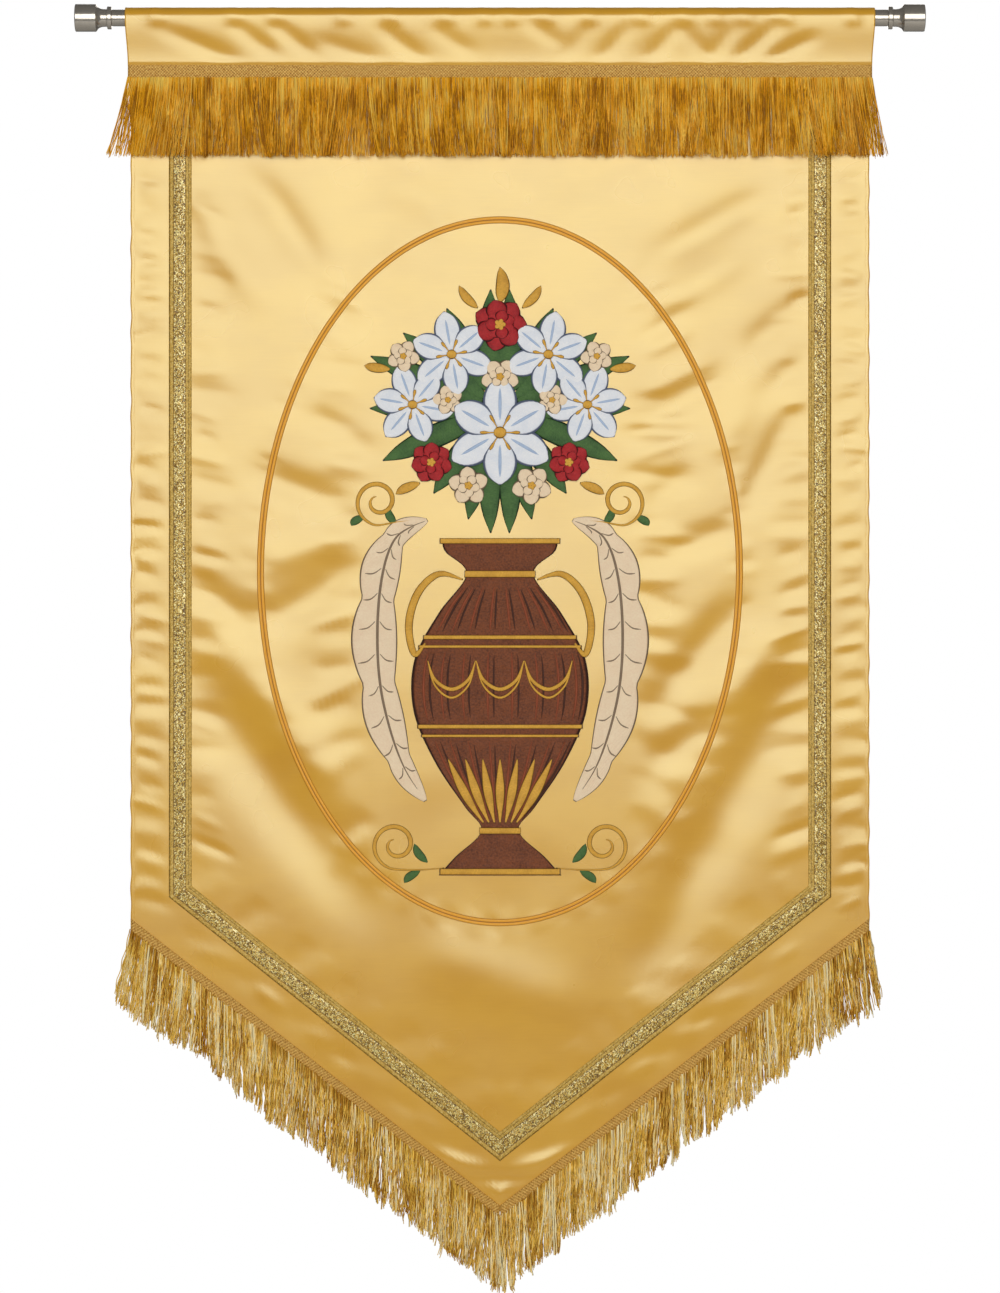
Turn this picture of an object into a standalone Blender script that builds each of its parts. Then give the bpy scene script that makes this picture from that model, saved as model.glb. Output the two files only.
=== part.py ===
"""A church banner of gold satin with its hanging rod.

The frame: X runs along the rod, Z is up and the banner's front faces -Y. The
origin is on the rod's axis, halfway along it. Lengths are in metres. A "depth"
is measured down from the rod's axis, so a point's z is minus its depth.
"""

import math
import random
from collections import namedtuple

import bmesh
import bpy
from mathutils import Vector

GAP = 0.0003
WELD = 0.000001

# The rod is a tube, and a turned cap plugs each of its ends.
ROD_RADIUS = 0.009
ROD_WALL = 0.001
ROD_HALF_LENGTH = 0.4168
TURNED_SIDES = 20
SHARP_TURNING = math.radians(35)
CAP_PLUG_LENGTH = 0.020
CapSection = namedtuple("CapSection", "length radius")
CAP_RING = CapSection(0.0050, 0.01225)
CAP_NECK = CapSection(0.0102, 0.0095)
CAP_BARREL = CapSection(0.0242, 0.01475)
CAP_ROUNDING = 0.0008

# The cloth's cut: its side edges end at one depth, and the V drops from there to its point. The
# seam that closes the sleeve is a little wider than the panel, and the sleeve wider again.
CLOTH = 0.0015
HALF_WIDTH = 0.397
SEAM_HALF_WIDTH = 0.400
SLEEVE_SPREAD = 0.0026
SIDE_DEPTH = 0.975
V_SLOPE = 0.777
SEAM_TOP = 0.0496
SEAM_FOOT = 0.0657
SLEEVE_FLOOR = 0.0006

# The galloon braid runs inside the cloth's edges. The outer edge of its V is this deep where it
# would meet the cloth's side edge, and it is a little steeper than the cloth's own V.
BRAID = 0.0010
BRAID_WIDTH = 0.0245
BRAID_OUTER = 0.3560
BRAID_TOP = 0.118
BRAID_V_DEPTH = 0.9127
BRAID_V_TILT = 1.026

# The cloth's grid: its cells between edge and braid, inside the braid, down the panel to the
# braid's V, and from there to the hem. The sleeve's arc over the rod has its own facets.
MARGIN_CELLS = 2
INNER_CELLS = 24
PANEL_CELLS = 29
HEM_CELLS = 2
ARC_FACETS = 6
ARC_HALF_FACET = math.radians(17)

# The sleeve's puckers, as ridges that lean towards the middle on their way down.
PUCKER_PLACES = (-0.356, -0.320, -0.286, -0.248, -0.165, -0.118, -0.060, -0.028, 0.011)
PUCKER_PLACES += (0.053, 0.097, 0.146, 0.195, 0.253, 0.294, 0.342, 0.373)
PUCKER_HEIGHT = 0.0022
PUCKER_HALF_WIDTH = 0.011
PUCKER_LEAN = 0.35
# The rows of the sleeve's front between seam and rod, and how much of the puckers each shows.
SleeveRow = namedtuple("SleeveRow", "share puckered")
SLEEVE_ROWS = (SleeveRow(0.34, 0.7), SleeveRow(0.70, 1.0))
PUCKERED_AT_ROD = 0.35

# The panel's main folds. Each runs from one place to another, and a trough has a negative bulge.
Fold = namedtuple("Fold", "from_x from_depth to_x to_depth half_width bulge")
FOLDS = (
    Fold(-0.274, 0.153, -0.204, 0.260, 0.022, -0.0042),
    Fold(-0.330, 0.190, -0.262, 0.300, 0.020, 0.0030),
    Fold(-0.120, 0.170, -0.060, 0.205, 0.024, 0.0022),
    Fold(0.276, 0.196, 0.172, 0.255, 0.020, -0.0036),
    Fold(0.255, 0.262, 0.175, 0.310, 0.018, 0.0022),
    Fold(0.328, 0.306, 0.273, 0.350, 0.017, -0.0030),
    Fold(0.328, 0.360, 0.268, 0.415, 0.017, -0.0030),
    Fold(0.315, 0.429, 0.271, 0.516, 0.018, -0.0034),
    Fold(0.234, 0.385, 0.150, 0.440, 0.018, -0.0030),
    Fold(0.290, 0.385, 0.238, 0.455, 0.016, 0.0020),
    Fold(0.197, 0.492, 0.165, 0.520, 0.015, -0.0024),
    Fold(0.191, 0.569, 0.246, 0.550, 0.015, -0.0024),
    Fold(-0.197, 0.429, -0.150, 0.455, 0.015, -0.0024),
    Fold(-0.253, 0.492, -0.170, 0.525, 0.018, -0.0034),
    Fold(-0.247, 0.649, -0.170, 0.600, 0.019, -0.0034),
    Fold(-0.250, 0.585, -0.180, 0.560, 0.017, 0.0024),
    Fold(-0.327, 0.602, -0.272, 0.654, 0.017, -0.0026),
    Fold(-0.329, 0.714, -0.161, 0.939, 0.032, -0.0052),
    Fold(-0.270, 0.700, -0.180, 0.830, 0.024, 0.0034),
    Fold(0.251, 0.638, 0.171, 0.737, 0.021, -0.0040),
    Fold(0.300, 0.660, 0.240, 0.740, 0.020, 0.0026),
    Fold(0.170, 0.800, 0.217, 0.764, 0.019, -0.0030),
    Fold(0.316, 0.726, 0.217, 0.898, 0.032, -0.0052),
    Fold(0.217, 0.898, 0.167, 1.013, 0.030, -0.0040),
    Fold(-0.060, 1.010, 0.060, 1.060, 0.035, 0.0030),
)
FOLDS_START = 0.130
FOLDS_FULL = 0.200
HEM_FLAT = 0.018
HEM_BLEND = 0.045

# The fringes: how far a heading stands proud, and how many strands hang from it. A strand takes
# a share of its place on the heading, and only the outermost ones splay outwards.
HEADING = 0.0020
FOOT_HEADING_HEIGHT = 0.013
TOP_STRANDS = 80
FOOT_STRANDS = 50
TOP_STRAND_SHARE = 0.78
FOOT_STRAND_SHARE = 0.64
TOP_STRAND_LENGTH = 0.0830
FOOT_STRAND_LENGTH = 0.0830
FOOT_REACH = 1.3660
STRAND_SPLAY = 0.0130
SPLAY_SHARPNESS = 8
UNEVEN = (0.95, 1.04)
FRINGE_SEED = 11
# A strand's sections: how far down it each is, its width as a share of the root's, its thickness,
# how far forward it hangs, and how far it may sway.
StrandSection = namedtuple("StrandSection", "down width thickness forward sway")
TOP_SECTIONS = (
    StrandSection(0.50, 1.00, 0.0022, 0.0026, 0.0004),
    StrandSection(1.00, 0.80, 0.0018, 0.0036, 0.0009),
)
FOOT_SECTIONS = (
    StrandSection(0.45, 0.86, 0.0028, 0.0004, 0.0009),
    StrandSection(1.00, 0.62, 0.0022, 0.0000, 0.0016),
)

# The oval of satin cord.
OVAL_DEPTH = 0.595
OVAL_HALF_WIDTH = 0.2612
OVAL_HALF_HEIGHT = 0.3815
OVAL_CORD_WIDTH = 0.0075
OVAL_CORD = 0.0018
OVAL_STEPS = 64

# The embroidered emblem: an urn, two scrolled leaves and a bouquet.
PATCH = 0.0010
CUTTER_REACH = 0.05
UrnSection = namedtuple("UrnSection", "depth half_width")
URN = (
    UrnSection(0.560, 0.062),
    UrnSection(0.574, 0.059),
    UrnSection(0.598, 0.036),
    UrnSection(0.640, 0.066),
    UrnSection(0.690, 0.092),
    UrnSection(0.745, 0.093),
    UrnSection(0.800, 0.070),
    UrnSection(0.848, 0.038),
    UrnSection(0.874, 0.020),
    UrnSection(0.902, 0.048),
    UrnSection(0.922, 0.066),
)
LeafPlace = namedtuple("LeafPlace", "x depth")
LEAF_SPINE = (
    LeafPlace(0.078, 0.540),
    LeafPlace(0.114, 0.562),
    LeafPlace(0.130, 0.625),
    LeafPlace(0.129, 0.715),
    LeafPlace(0.108, 0.795),
    LeafPlace(0.080, 0.842),
)
LEAF_HALF_WIDTH = 0.022
LEAF_INNER_SHARE = 0.8
LEAF_STUBBY = 0.6
LEAF_ENDS = (0.10, 0.97)
LEAF_LOBES = 4
LEAF_LOBE_DEPTH = 0.007
# The bouquet's lobes reach out from its core, at angles counted from its right-hand side.
Lobe = namedtuple("Lobe", "angle reach half_angle")
BOUQUET_DEPTH = 0.432
BOUQUET_CORE = 0.084
BOUQUET_LOBES = (
    Lobe(90, 0.163, 13),
    Lobe(52, 0.134, 17),
    Lobe(128, 0.134, 17),
    Lobe(10, 0.140, 16),
    Lobe(170, 0.140, 16),
    Lobe(-32, 0.112, 14),
    Lobe(212, 0.112, 14),
    Lobe(-90, 0.119, 20),
)
BOUQUET_STEPS = 60
CURVE_STEPS = 4


def clear_scene():
    for thing in list(bpy.data.objects):
        bpy.data.objects.remove(thing, do_unlink=True)


def finish(name, colour, roughness, metallic):
    """A plain Principled material."""
    made = bpy.data.materials.new(name)
    made.use_nodes = True
    shader = made.node_tree.nodes["Principled BSDF"]
    shader.inputs["Base Color"].default_value = (*colour, 1.0)
    shader.inputs["Roughness"].default_value = roughness
    shader.inputs["Metallic"].default_value = metallic
    return made


def add_object(name, shape, material):
    """One object from a closed bmesh, with its faces pointing out and its round parts smooth."""
    bmesh.ops.recalc_face_normals(shape, faces=shape.faces)
    mesh = bpy.data.meshes.new(name)
    shape.to_mesh(mesh)
    shape.free()
    mesh.shade_smooth()
    mesh.set_sharp_from_angle(angle=SHARP_TURNING)
    mesh.materials.append(material)
    made = bpy.data.objects.new(name, mesh)
    bpy.context.collection.objects.link(made)
    return made


def add_mesh(name, points, faces, material):
    """One closed object from its points and faces."""
    shape = bmesh.new()
    corners = [shape.verts.new(point) for point in points]
    for face in faces:
        shape.faces.new([corners[index] for index in face])
    return add_object(name, shape, material)


def blend(start, end, share):
    return start + (end - start) * share


def ease(value, start, end):
    """0 before start, 1 after end, and smooth between them."""
    share = min(max((value - start) / (end - start), 0.0), 1.0)
    return share * share * (3 - 2 * share)


def through(points, steps):
    """A smooth curve through the points, with so many steps between each two."""
    last = len(points) - 1
    curve = []
    for index in range(last):
        a, b, c, d = (Vector(points[min(max(index + k, 0), last)]) for k in (-1, 0, 1, 2))
        for step in range(steps):
            t = step / steps
            bend = (2 * a - 5 * b + 4 * c - d) * t**2 + (3 * b - a - 3 * c + d) * t**3
            curve.append(b + 0.5 * ((c - a) * t + bend))
    curve.append(Vector(points[last]))
    return curve


def turned(name, profile, material, closed):
    """A piece turned about the rod's axis, from (along, radius) points."""
    shape = bmesh.new()
    corners = [shape.verts.new((along, 0.0, radius)) for along, radius in profile]
    pairs = list(zip(corners, corners[1:]))
    if closed:
        pairs.append((corners[-1], corners[0]))
    edges = [shape.edges.new(pair) for pair in pairs]
    bmesh.ops.spin(
        shape,
        geom=corners + edges,
        cent=(0, 0, 0),
        axis=(1, 0, 0),
        angle=2 * math.pi,
        steps=TURNED_SIDES,
    )
    bmesh.ops.remove_doubles(shape, verts=shape.verts, dist=WELD)
    add_object(name, shape, material)


def make_rod(steel):
    inner = ROD_RADIUS - ROD_WALL
    profile = [
        (-ROD_HALF_LENGTH, ROD_RADIUS),
        (ROD_HALF_LENGTH, ROD_RADIUS),
        (ROD_HALF_LENGTH, inner),
        (-ROD_HALF_LENGTH, inner),
    ]
    turned("rod", profile, steel, closed=True)


def make_cap(name, side, steel):
    """A turned cap: a plug in the tube, then a ring, a neck and a barrel."""
    plug = ROD_RADIUS - ROD_WALL - GAP
    ring = CAP_RING.radius
    barrel = CAP_BARREL.radius
    r = CAP_ROUNDING
    seat = ROD_HALF_LENGTH + GAP
    neck_start = seat + CAP_RING.length
    barrel_start = neck_start + CAP_NECK.length
    end = barrel_start + CAP_BARREL.length
    profile = [
        (seat - CAP_PLUG_LENGTH, 0.0),
        (seat - CAP_PLUG_LENGTH, plug - r),
        (seat - CAP_PLUG_LENGTH + r, plug),
        (seat, plug),
        (seat, ring - r),
        (seat + r, ring),
        (neck_start - r, ring),
        (neck_start, ring - r),
        (neck_start, CAP_NECK.radius),
        (barrel_start, CAP_NECK.radius),
        (barrel_start + 2 * r, barrel - r),
        (barrel_start + 3 * r, barrel),
        (end - r, barrel),
        (end, barrel - r),
        (end, 0.0),
    ]
    turned(name, [(side * along, radius) for along, radius in profile], steel, closed=False)


def drop(x):
    """How much lower the V is here than at the cloth's side edge."""
    return V_SLOPE * (HALF_WIDTH - min(abs(x), HALF_WIDTH))


def hem_depth(x):
    return SIDE_DEPTH + drop(x)


def bulge(x, depth):
    """How far the panel's folds carry it towards the front."""
    total = 0.0
    here = Vector((x, depth))
    for fold in FOLDS:
        start = Vector((fold.from_x, fold.from_depth))
        along = Vector((fold.to_x, fold.to_depth)) - start
        share = (here - start).dot(along) / along.length_squared
        nearest = start + along * min(max(share, 0.0), 1.0)
        total += fold.bulge * math.exp(-(((here - nearest).length / fold.half_width) ** 2))
    above_hem = hem_depth(x) - depth
    settled = ease(depth, FOLDS_START, FOLDS_FULL)
    return total * settled * ease(above_hem, HEM_FLAT, HEM_FLAT + HEM_BLEND)


def pucker(x, depth):
    """How far the sleeve's puckers stand out where they are highest."""
    total = 0.0
    for place in PUCKER_PLACES:
        middle = place - math.copysign(PUCKER_LEAN, place) * depth
        total += PUCKER_HEIGHT * math.exp(-(((x - middle) / PUCKER_HALF_WIDTH) ** 2))
    return min(total, PUCKER_HEIGHT)


def panel_columns():
    """The grid's places across the panel. Its columns follow the braid's two edges."""
    inner = BRAID_OUTER - BRAID_WIDTH
    margin = [blend(HALF_WIDTH, BRAID_OUTER, k / MARGIN_CELLS) for k in range(MARGIN_CELLS)]
    left = [-x for x in margin] + [-BRAID_OUTER]
    middle = [blend(-inner, inner, k / INNER_CELLS) for k in range(INNER_CELLS + 1)]
    return left + middle + [-x for x in reversed(left)]


def panel_rows():
    """The grid's rows as (depth at the side edge, share of the V's slope). The last follow the V."""
    braid_height = BRAID_WIDTH * math.hypot(1, V_SLOPE * BRAID_V_TILT)
    inner_v = BRAID_V_DEPTH - braid_height
    rows = [(SEAM_FOOT, 0.0)]
    for step in range(PANEL_CELLS + 1):
        share = step / PANEL_CELLS
        rows.append((blend(BRAID_TOP, inner_v, share), BRAID_V_TILT * share))
    for step in range(HEM_CELLS + 1):
        share = step / HEM_CELLS
        rows.append((blend(BRAID_V_DEPTH, SIDE_DEPTH, share), blend(BRAID_V_TILT, 1.0, share)))
    return rows


COLUMNS = panel_columns()
ROWS = panel_rows()


def panel_point(row, column, y):
    """A grid point of the panel, with y from its middle layer."""
    x = COLUMNS[column]
    side_depth, tilt = ROWS[row]
    depth = side_depth + tilt * drop(x)
    if row == 0:
        x *= SEAM_HALF_WIDTH / HALF_WIDTH
    return (x, y - bulge(x, depth), -depth)


def split(a, b, c, d):
    """A grid cell's two triangles. Every layer uses the same diagonal, so layers stay parallel."""
    return [(a, b, c), (a, c, d)]


SleeveStation = namedtuple("SleeveStation", "y z out_y out_z puckered")


def sleeve_section():
    """The sleeve's inner surface, from the seam up the front, over the rod and down the back."""
    front_y = CLOTH / 2
    reach = (ROD_RADIUS + GAP) / math.cos(ARC_HALF_FACET)
    dip = math.asin(reach / math.hypot(reach, SEAM_TOP))
    stations = [SleeveStation(front_y, -SEAM_TOP, -1.0, 0.0, 0.0)]
    lift_off = Vector((-reach * math.cos(dip), -reach * math.sin(dip)))
    foot = Vector((front_y, -SEAM_TOP))
    line = (lift_off - foot).normalized()
    for row in SLEEVE_ROWS:
        place = foot.lerp(lift_off, row.share)
        stations.append(SleeveStation(*place, -line.y, line.x, row.puckered))
    for facet in range(ARC_FACETS + 1):
        angle = blend(math.pi + dip, -dip, facet / ARC_FACETS)
        out = (math.cos(angle), math.sin(angle))
        puckered = PUCKERED_AT_ROD if facet == 0 else 0.0
        stations.append(SleeveStation(reach * out[0], reach * out[1], *out, puckered))
    stations.append(SleeveStation(front_y + SLEEVE_FLOOR, -SEAM_TOP, 1.0, 0.0, 0.0))
    return stations


def make_cloth(satin):
    """One length of satin: a sleeve closed by its seam, and the panel below it."""
    points = []

    def add(point):
        points.append(point)
        return len(points) - 1

    fine = []
    for left, right in zip(COLUMNS, COLUMNS[1:]):
        fine += [left, (left + right) / 2]
    fine.append(COLUMNS[-1])

    def sleeve_layer(thickness):
        layer = []
        for at in sleeve_section():
            widen = SEAM_HALF_WIDTH + SLEEVE_SPREAD * ease(at.z, -SEAM_TOP, 0.0)
            row = []
            for column in fine:
                x = column * widen / HALF_WIDTH
                away = thickness + at.puckered * pucker(x, -at.z)
                row.append(add((x, at.y + at.out_y * away, at.z + at.out_z * away)))
            layer.append(row)
        return layer

    inner = sleeve_layer(0.0)
    outer = sleeve_layer(CLOTH)
    front = [[add(panel_point(r, c, -CLOTH / 2)) for c in range(len(COLUMNS))] for r in range(len(ROWS))]
    back = [[add(panel_point(r, c, CLOTH / 2)) for c in range(len(COLUMNS))] for r in range(len(ROWS))]
    flap_y = CLOTH / 2 + SLEEVE_FLOOR + CLOTH
    flap = [add((x * SEAM_HALF_WIDTH / HALF_WIDTH, flap_y, -SEAM_FOOT)) for x in COLUMNS]

    faces = []
    for layer in (inner, outer):
        for above, below in zip(layer, layer[1:]):
            for c in range(len(fine) - 1):
                faces.append((above[c], above[c + 1], below[c + 1], below[c]))
    for c in range(len(fine) - 1):
        faces.append((inner[0][c], inner[0][c + 1], inner[-1][c + 1], inner[-1][c]))
    for sleeve_edge, coarse_row in ((outer[0], front[0]), (outer[-1], flap)):
        for c in range(len(COLUMNS) - 1):
            upper = sleeve_edge[2 * c : 2 * c + 3]
            faces.append((*upper, coarse_row[c + 1], coarse_row[c]))
    for c in range(len(COLUMNS) - 1):
        faces.append((flap[c], flap[c + 1], back[0][c + 1], back[0][c]))
        faces.append((front[-1][c], front[-1][c + 1], back[-1][c + 1], back[-1][c]))
    for layer in (front, back):
        for above, below in zip(layer, layer[1:]):
            for c in range(len(COLUMNS) - 1):
                faces += split(above[c], above[c + 1], below[c + 1], below[c])
    for end in (0, -1):
        for s in range(len(outer) - 1):
            faces.append((outer[s][end], outer[s + 1][end], inner[s + 1][end], inner[s][end]))
        seam = (outer[0][end], inner[0][end], inner[-1][end], outer[-1][end])
        faces.append((*seam, flap[end], back[0][end], front[0][end]))
        for r in range(len(ROWS) - 1):
            faces.append((front[r][end], front[r + 1][end], back[r + 1][end], back[r][end]))
    add_mesh("banner_cloth", points, faces, satin)


def layer_over(name, cells, thickness, material):
    """A layer that lies on the panel's front over these (row, column) cells."""
    points = []
    faces = []
    index = {}

    def corner(row, column, y):
        key = (row, column, y)
        if key not in index:
            index[key] = len(points)
            points.append(panel_point(row, column, y))
        return index[key]

    near = -CLOTH / 2 - GAP
    far = near - thickness
    edges = {}
    for row, column in cells:
        ring = ((row, column), (row, column + 1), (row + 1, column + 1), (row + 1, column))
        for y in (near, far):
            faces += split(*(corner(*place, y) for place in ring))
        for start, end in zip(ring, ring[1:] + ring[:1]):
            edge = frozenset((start, end))
            edges[edge] = edges.get(edge, 0) + 1
    for edge, uses in edges.items():
        if uses == 1:
            start, end = sorted(edge)
            faces.append((corner(*start, near), corner(*end, near), corner(*end, far), corner(*start, far)))
    return add_mesh(name, points, faces, material)


def make_braid(galloon):
    """One length of braid: down one side, along the V and up the other side, with mitred corners."""
    left = MARGIN_CELLS
    right = len(COLUMNS) - 2 - MARGIN_CELLS
    v_row = 1 + PANEL_CELLS
    cells = {(row, column) for row in range(1, v_row) for column in (left, right)}
    cells |= {(v_row, column) for column in range(left, right + 1)}
    layer_over("galloon_braid", sorted(cells), BRAID, galloon)


def cells_around(outline):
    """The panel's cells that hold this (x, depth) outline."""
    low_x = min(x for x, _ in outline)
    high_x = max(x for x, _ in outline)
    low_depth = min(depth for _, depth in outline)
    high_depth = max(depth for _, depth in outline)
    cells = []
    for row in range(len(ROWS) - 1):
        for column in range(len(COLUMNS) - 1):
            left, right = COLUMNS[column], COLUMNS[column + 1]
            tops = [ROWS[row][0] + ROWS[row][1] * drop(x) for x in (left, right)]
            feet = [ROWS[row + 1][0] + ROWS[row + 1][1] * drop(x) for x in (left, right)]
            beside = right < low_x or left > high_x
            if not beside and max(feet) > low_depth and min(tops) < high_depth:
                cells.append((row, column))
    return cells


def cutter(name, outlines):
    """A prism across the cloth. A second outline is a hole through it."""
    points = []
    faces = []
    rings = []
    for outline in outlines:
        for y in (-CUTTER_REACH, CUTTER_REACH):
            rings.append(range(len(points), len(points) + len(outline)))
            points += [(x, y, -depth) for x, depth in outline]
    for near, far in zip(rings[::2], rings[1::2]):
        for k in range(len(near)):
            after = (k + 1) % len(near)
            faces.append((near[k], near[after], far[after], far[k]))
    if len(outlines) == 1:
        faces += [tuple(rings[0]), tuple(rings[1])]
    else:
        for outer, hole in ((rings[0], rings[2]), (rings[1], rings[3])):
            for k in range(len(outer)):
                after = (k + 1) % len(outer)
                faces.append((outer[k], outer[after], hole[after], hole[k]))
    made = add_mesh(name, points, faces, None)
    made.hide_render = True
    made.display_type = "WIRE"
    return made


def make_patch(name, outlines, thickness, material):
    """A raised patch of stitching: the cloth's own surface within an outline, lifted off it."""
    made = layer_over(name, cells_around(outlines[0]), thickness, material)
    cut = made.modifiers.new("outline", "BOOLEAN")
    cut.operation = "INTERSECT"
    cut.solver = "EXACT"
    cut.object = cutter(name + "_outline", outlines)


def oval_ring(half_width, half_height):
    ring = []
    for step in range(OVAL_STEPS):
        angle = 2 * math.pi * (step + 0.5) / OVAL_STEPS
        ring.append((half_width * math.cos(angle), OVAL_DEPTH + half_height * math.sin(angle)))
    return ring


def make_oval(cord):
    outer = oval_ring(OVAL_HALF_WIDTH, OVAL_HALF_HEIGHT)
    hole = oval_ring(OVAL_HALF_WIDTH - OVAL_CORD_WIDTH, OVAL_HALF_HEIGHT - OVAL_CORD_WIDTH)
    make_patch("oval_cord", [outer, hole], OVAL_CORD, cord)


def urn_outline():
    right = [(place.y, place.x) for place in through(URN, CURVE_STEPS)]
    return right + [(-x, depth) for x, depth in reversed(right)]


def leaf_outline(side):
    """A scrolled leaf along its spine, with lobes on its outer edge."""
    spine = through(LEAF_SPINE, CURVE_STEPS)
    outer = []
    inner = []
    for index, place in enumerate(spine):
        share = index / (len(spine) - 1)
        before = spine[max(index - 1, 0)]
        after = spine[min(index + 1, len(spine) - 1)]
        along = (after - before).normalized()
        across = Vector((along.y, -along.x))
        half = LEAF_HALF_WIDTH * math.sin(math.pi * blend(*LEAF_ENDS, share)) ** LEAF_STUBBY
        lobe = LEAF_LOBE_DEPTH * abs(math.sin(math.pi * LEAF_LOBES * share)) * math.sin(math.pi * share)
        outer.append(place + across * (half + lobe - LEAF_LOBE_DEPTH / 2))
        inner.append(place - across * half * LEAF_INNER_SHARE)
    return [(side * place.x, place.y) for place in outer + inner[::-1]]


def bouquet_outline():
    """A lobed outline: each flower or spray of leaves reaches out from the core."""
    ring = []
    for step in range(BOUQUET_STEPS):
        angle = 360 * step / BOUQUET_STEPS
        reach = BOUQUET_CORE
        for lobe in BOUQUET_LOBES:
            away = (angle - lobe.angle + 180) % 360 - 180
            reach += (lobe.reach - BOUQUET_CORE) * math.exp(-((away / lobe.half_angle) ** 2))
        turn = math.radians(angle)
        ring.append((reach * math.cos(turn), BOUQUET_DEPTH - reach * math.sin(turn)))
    return ring


def make_emblem(brown, cream, white):
    make_patch("urn_patch", [urn_outline()], PATCH, brown)
    make_patch("leaf_patch_left", [leaf_outline(-1)], PATCH, cream)
    make_patch("leaf_patch_right", [leaf_outline(1)], PATCH, cream)
    make_patch("bouquet_patch", [bouquet_outline()], PATCH, white)


Heading = namedtuple("Heading", "start end top_depth foot_depth")
Strands = namedtuple("Strands", "count share length sections")


def strand_rings(root_depth, left, right, sections, length, chance):
    """The rings of one strand below its root, each as four corners."""
    middle = (left + right) / 2
    front = -CLOTH / 2 - GAP - HEADING / 2
    splay = math.copysign(STRAND_SPLAY, middle) * (abs(middle) / SEAM_HALF_WIDTH) ** SPLAY_SHARPNESS
    rings = []
    for section in sections:
        x = middle + splay * section.down + chance.uniform(-1, 1) * section.sway
        y = front - section.forward + chance.uniform(-1, 1) * section.sway
        half = (right - left) / 2 * section.width
        thick = section.thickness / 2
        z = -root_depth - length * section.down
        ring = [(x - half, y - thick, z), (x + half, y - thick, z)]
        rings.append(ring + [(x + half, y + thick, z), (x - half, y + thick, z)])
    return rings


def make_fringe(name, heading, strands, thread):
    """A woven heading with its strands: they part below their roots, which are one with it."""
    chance = random.Random(FRINGE_SEED)
    back_y = -CLOTH / 2 - GAP
    front_y = back_y - HEADING
    pitch = (heading.end - heading.start) / strands.count
    spare = pitch * (1 - strands.share) / 2
    stations = [heading.start]
    for strand in range(strands.count):
        stations.append(heading.start + strand * pitch + spare)
        stations.append(heading.start + (strand + 1) * pitch - spare)
    stations.append(heading.end)

    points = []

    def add(x, y, z):
        points.append((x, y, z))
        return len(points) - 1

    ends = (heading.start, heading.end)
    top_front = [add(x, front_y, -heading.top_depth(x)) for x in ends]
    top_back = [add(x, back_y, -heading.top_depth(x)) for x in ends]
    foot_front = [add(x, front_y, -heading.foot_depth(x)) for x in stations]
    foot_back = [add(x, back_y, -heading.foot_depth(x)) for x in stations]
    faces = [
        (top_front[0], top_front[1], *reversed(foot_front)),
        (top_back[0], top_back[1], *reversed(foot_back)),
        (top_front[0], top_front[1], top_back[1], top_back[0]),
        (top_front[0], foot_front[0], foot_back[0], top_back[0]),
        (top_front[1], foot_front[-1], foot_back[-1], top_back[1]),
    ]
    for k in range(0, len(stations), 2):
        faces.append((foot_front[k], foot_front[k + 1], foot_back[k + 1], foot_back[k]))
    for k in range(1, len(stations) - 1, 2):
        left, right = stations[k], stations[k + 1]
        root = heading.foot_depth((left + right) / 2)
        length = min(strands.length * chance.uniform(*UNEVEN), FOOT_REACH - root)
        above = (foot_front[k], foot_front[k + 1], foot_back[k + 1], foot_back[k])
        for ring in strand_rings(root, left, right, strands.sections, length, chance):
            below = tuple(add(*corner) for corner in ring)
            for side in range(4):
                after = (side + 1) % 4
                faces.append((above[side], above[after], below[after], below[side]))
            above = below
        faces.append(above)
    add_mesh(name, points, faces, thread)


def make_fringes(thread):
    top = Heading(-SEAM_HALF_WIDTH, SEAM_HALF_WIDTH, lambda x: SEAM_TOP, lambda x: SEAM_FOOT)
    silky = Strands(TOP_STRANDS, TOP_STRAND_SHARE, TOP_STRAND_LENGTH, TOP_SECTIONS)
    make_fringe("top_fringe", top, silky, thread)
    crinkled = Strands(FOOT_STRANDS, FOOT_STRAND_SHARE, FOOT_STRAND_LENGTH, FOOT_SECTIONS)
    half = FOOT_HEADING_HEIGHT / 2
    for name, side in (("bottom_fringe_left", -1), ("bottom_fringe_right", 1)):
        ends = sorted((side * HALF_WIDTH, side * GAP))
        foot = Heading(*ends, lambda x: hem_depth(x) - half, lambda x: hem_depth(x) + half)
        make_fringe(name, foot, crinkled, thread)


def main():
    clear_scene()
    steel = finish("brushed steel", (0.55, 0.53, 0.50), 0.28, 1.0)
    satin = finish("gold satin", (0.80, 0.60, 0.27), 0.35, 0.15)
    thread = finish("gold fringe thread", (0.62, 0.42, 0.11), 0.45, 0.10)
    galloon = finish("metallic galloon", (0.48, 0.38, 0.13), 0.40, 0.60)
    cord = finish("orange gold cord", (0.70, 0.36, 0.06), 0.40, 0.10)
    brown = finish("brown stitching", (0.16, 0.06, 0.025), 0.70, 0.0)
    cream = finish("cream stitching", (0.68, 0.52, 0.34), 0.70, 0.0)
    white = finish("white stitching", (0.82, 0.84, 0.88), 0.65, 0.0)
    make_rod(steel)
    make_cap("finial_left", -1, steel)
    make_cap("finial_right", 1, steel)
    make_cloth(satin)
    make_braid(galloon)
    make_oval(cord)
    make_emblem(brown, cream, white)
    make_fringes(thread)


main()
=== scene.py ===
# %% [markdown]
# # A church banner of gold satin
# The real banner is one length of heavy satin. A sleeve at its top holds a steel rod, a fringe
# covers the sleeve's seam, two more fringes edge its pointed foot, and a metallic braid runs
# inside its edges. In the middle an oval of satin cord frames an embroidered urn of flowers.
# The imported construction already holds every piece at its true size, so this notebook only
# gives each of them its surface. It never moves a piece of the construction.

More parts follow.
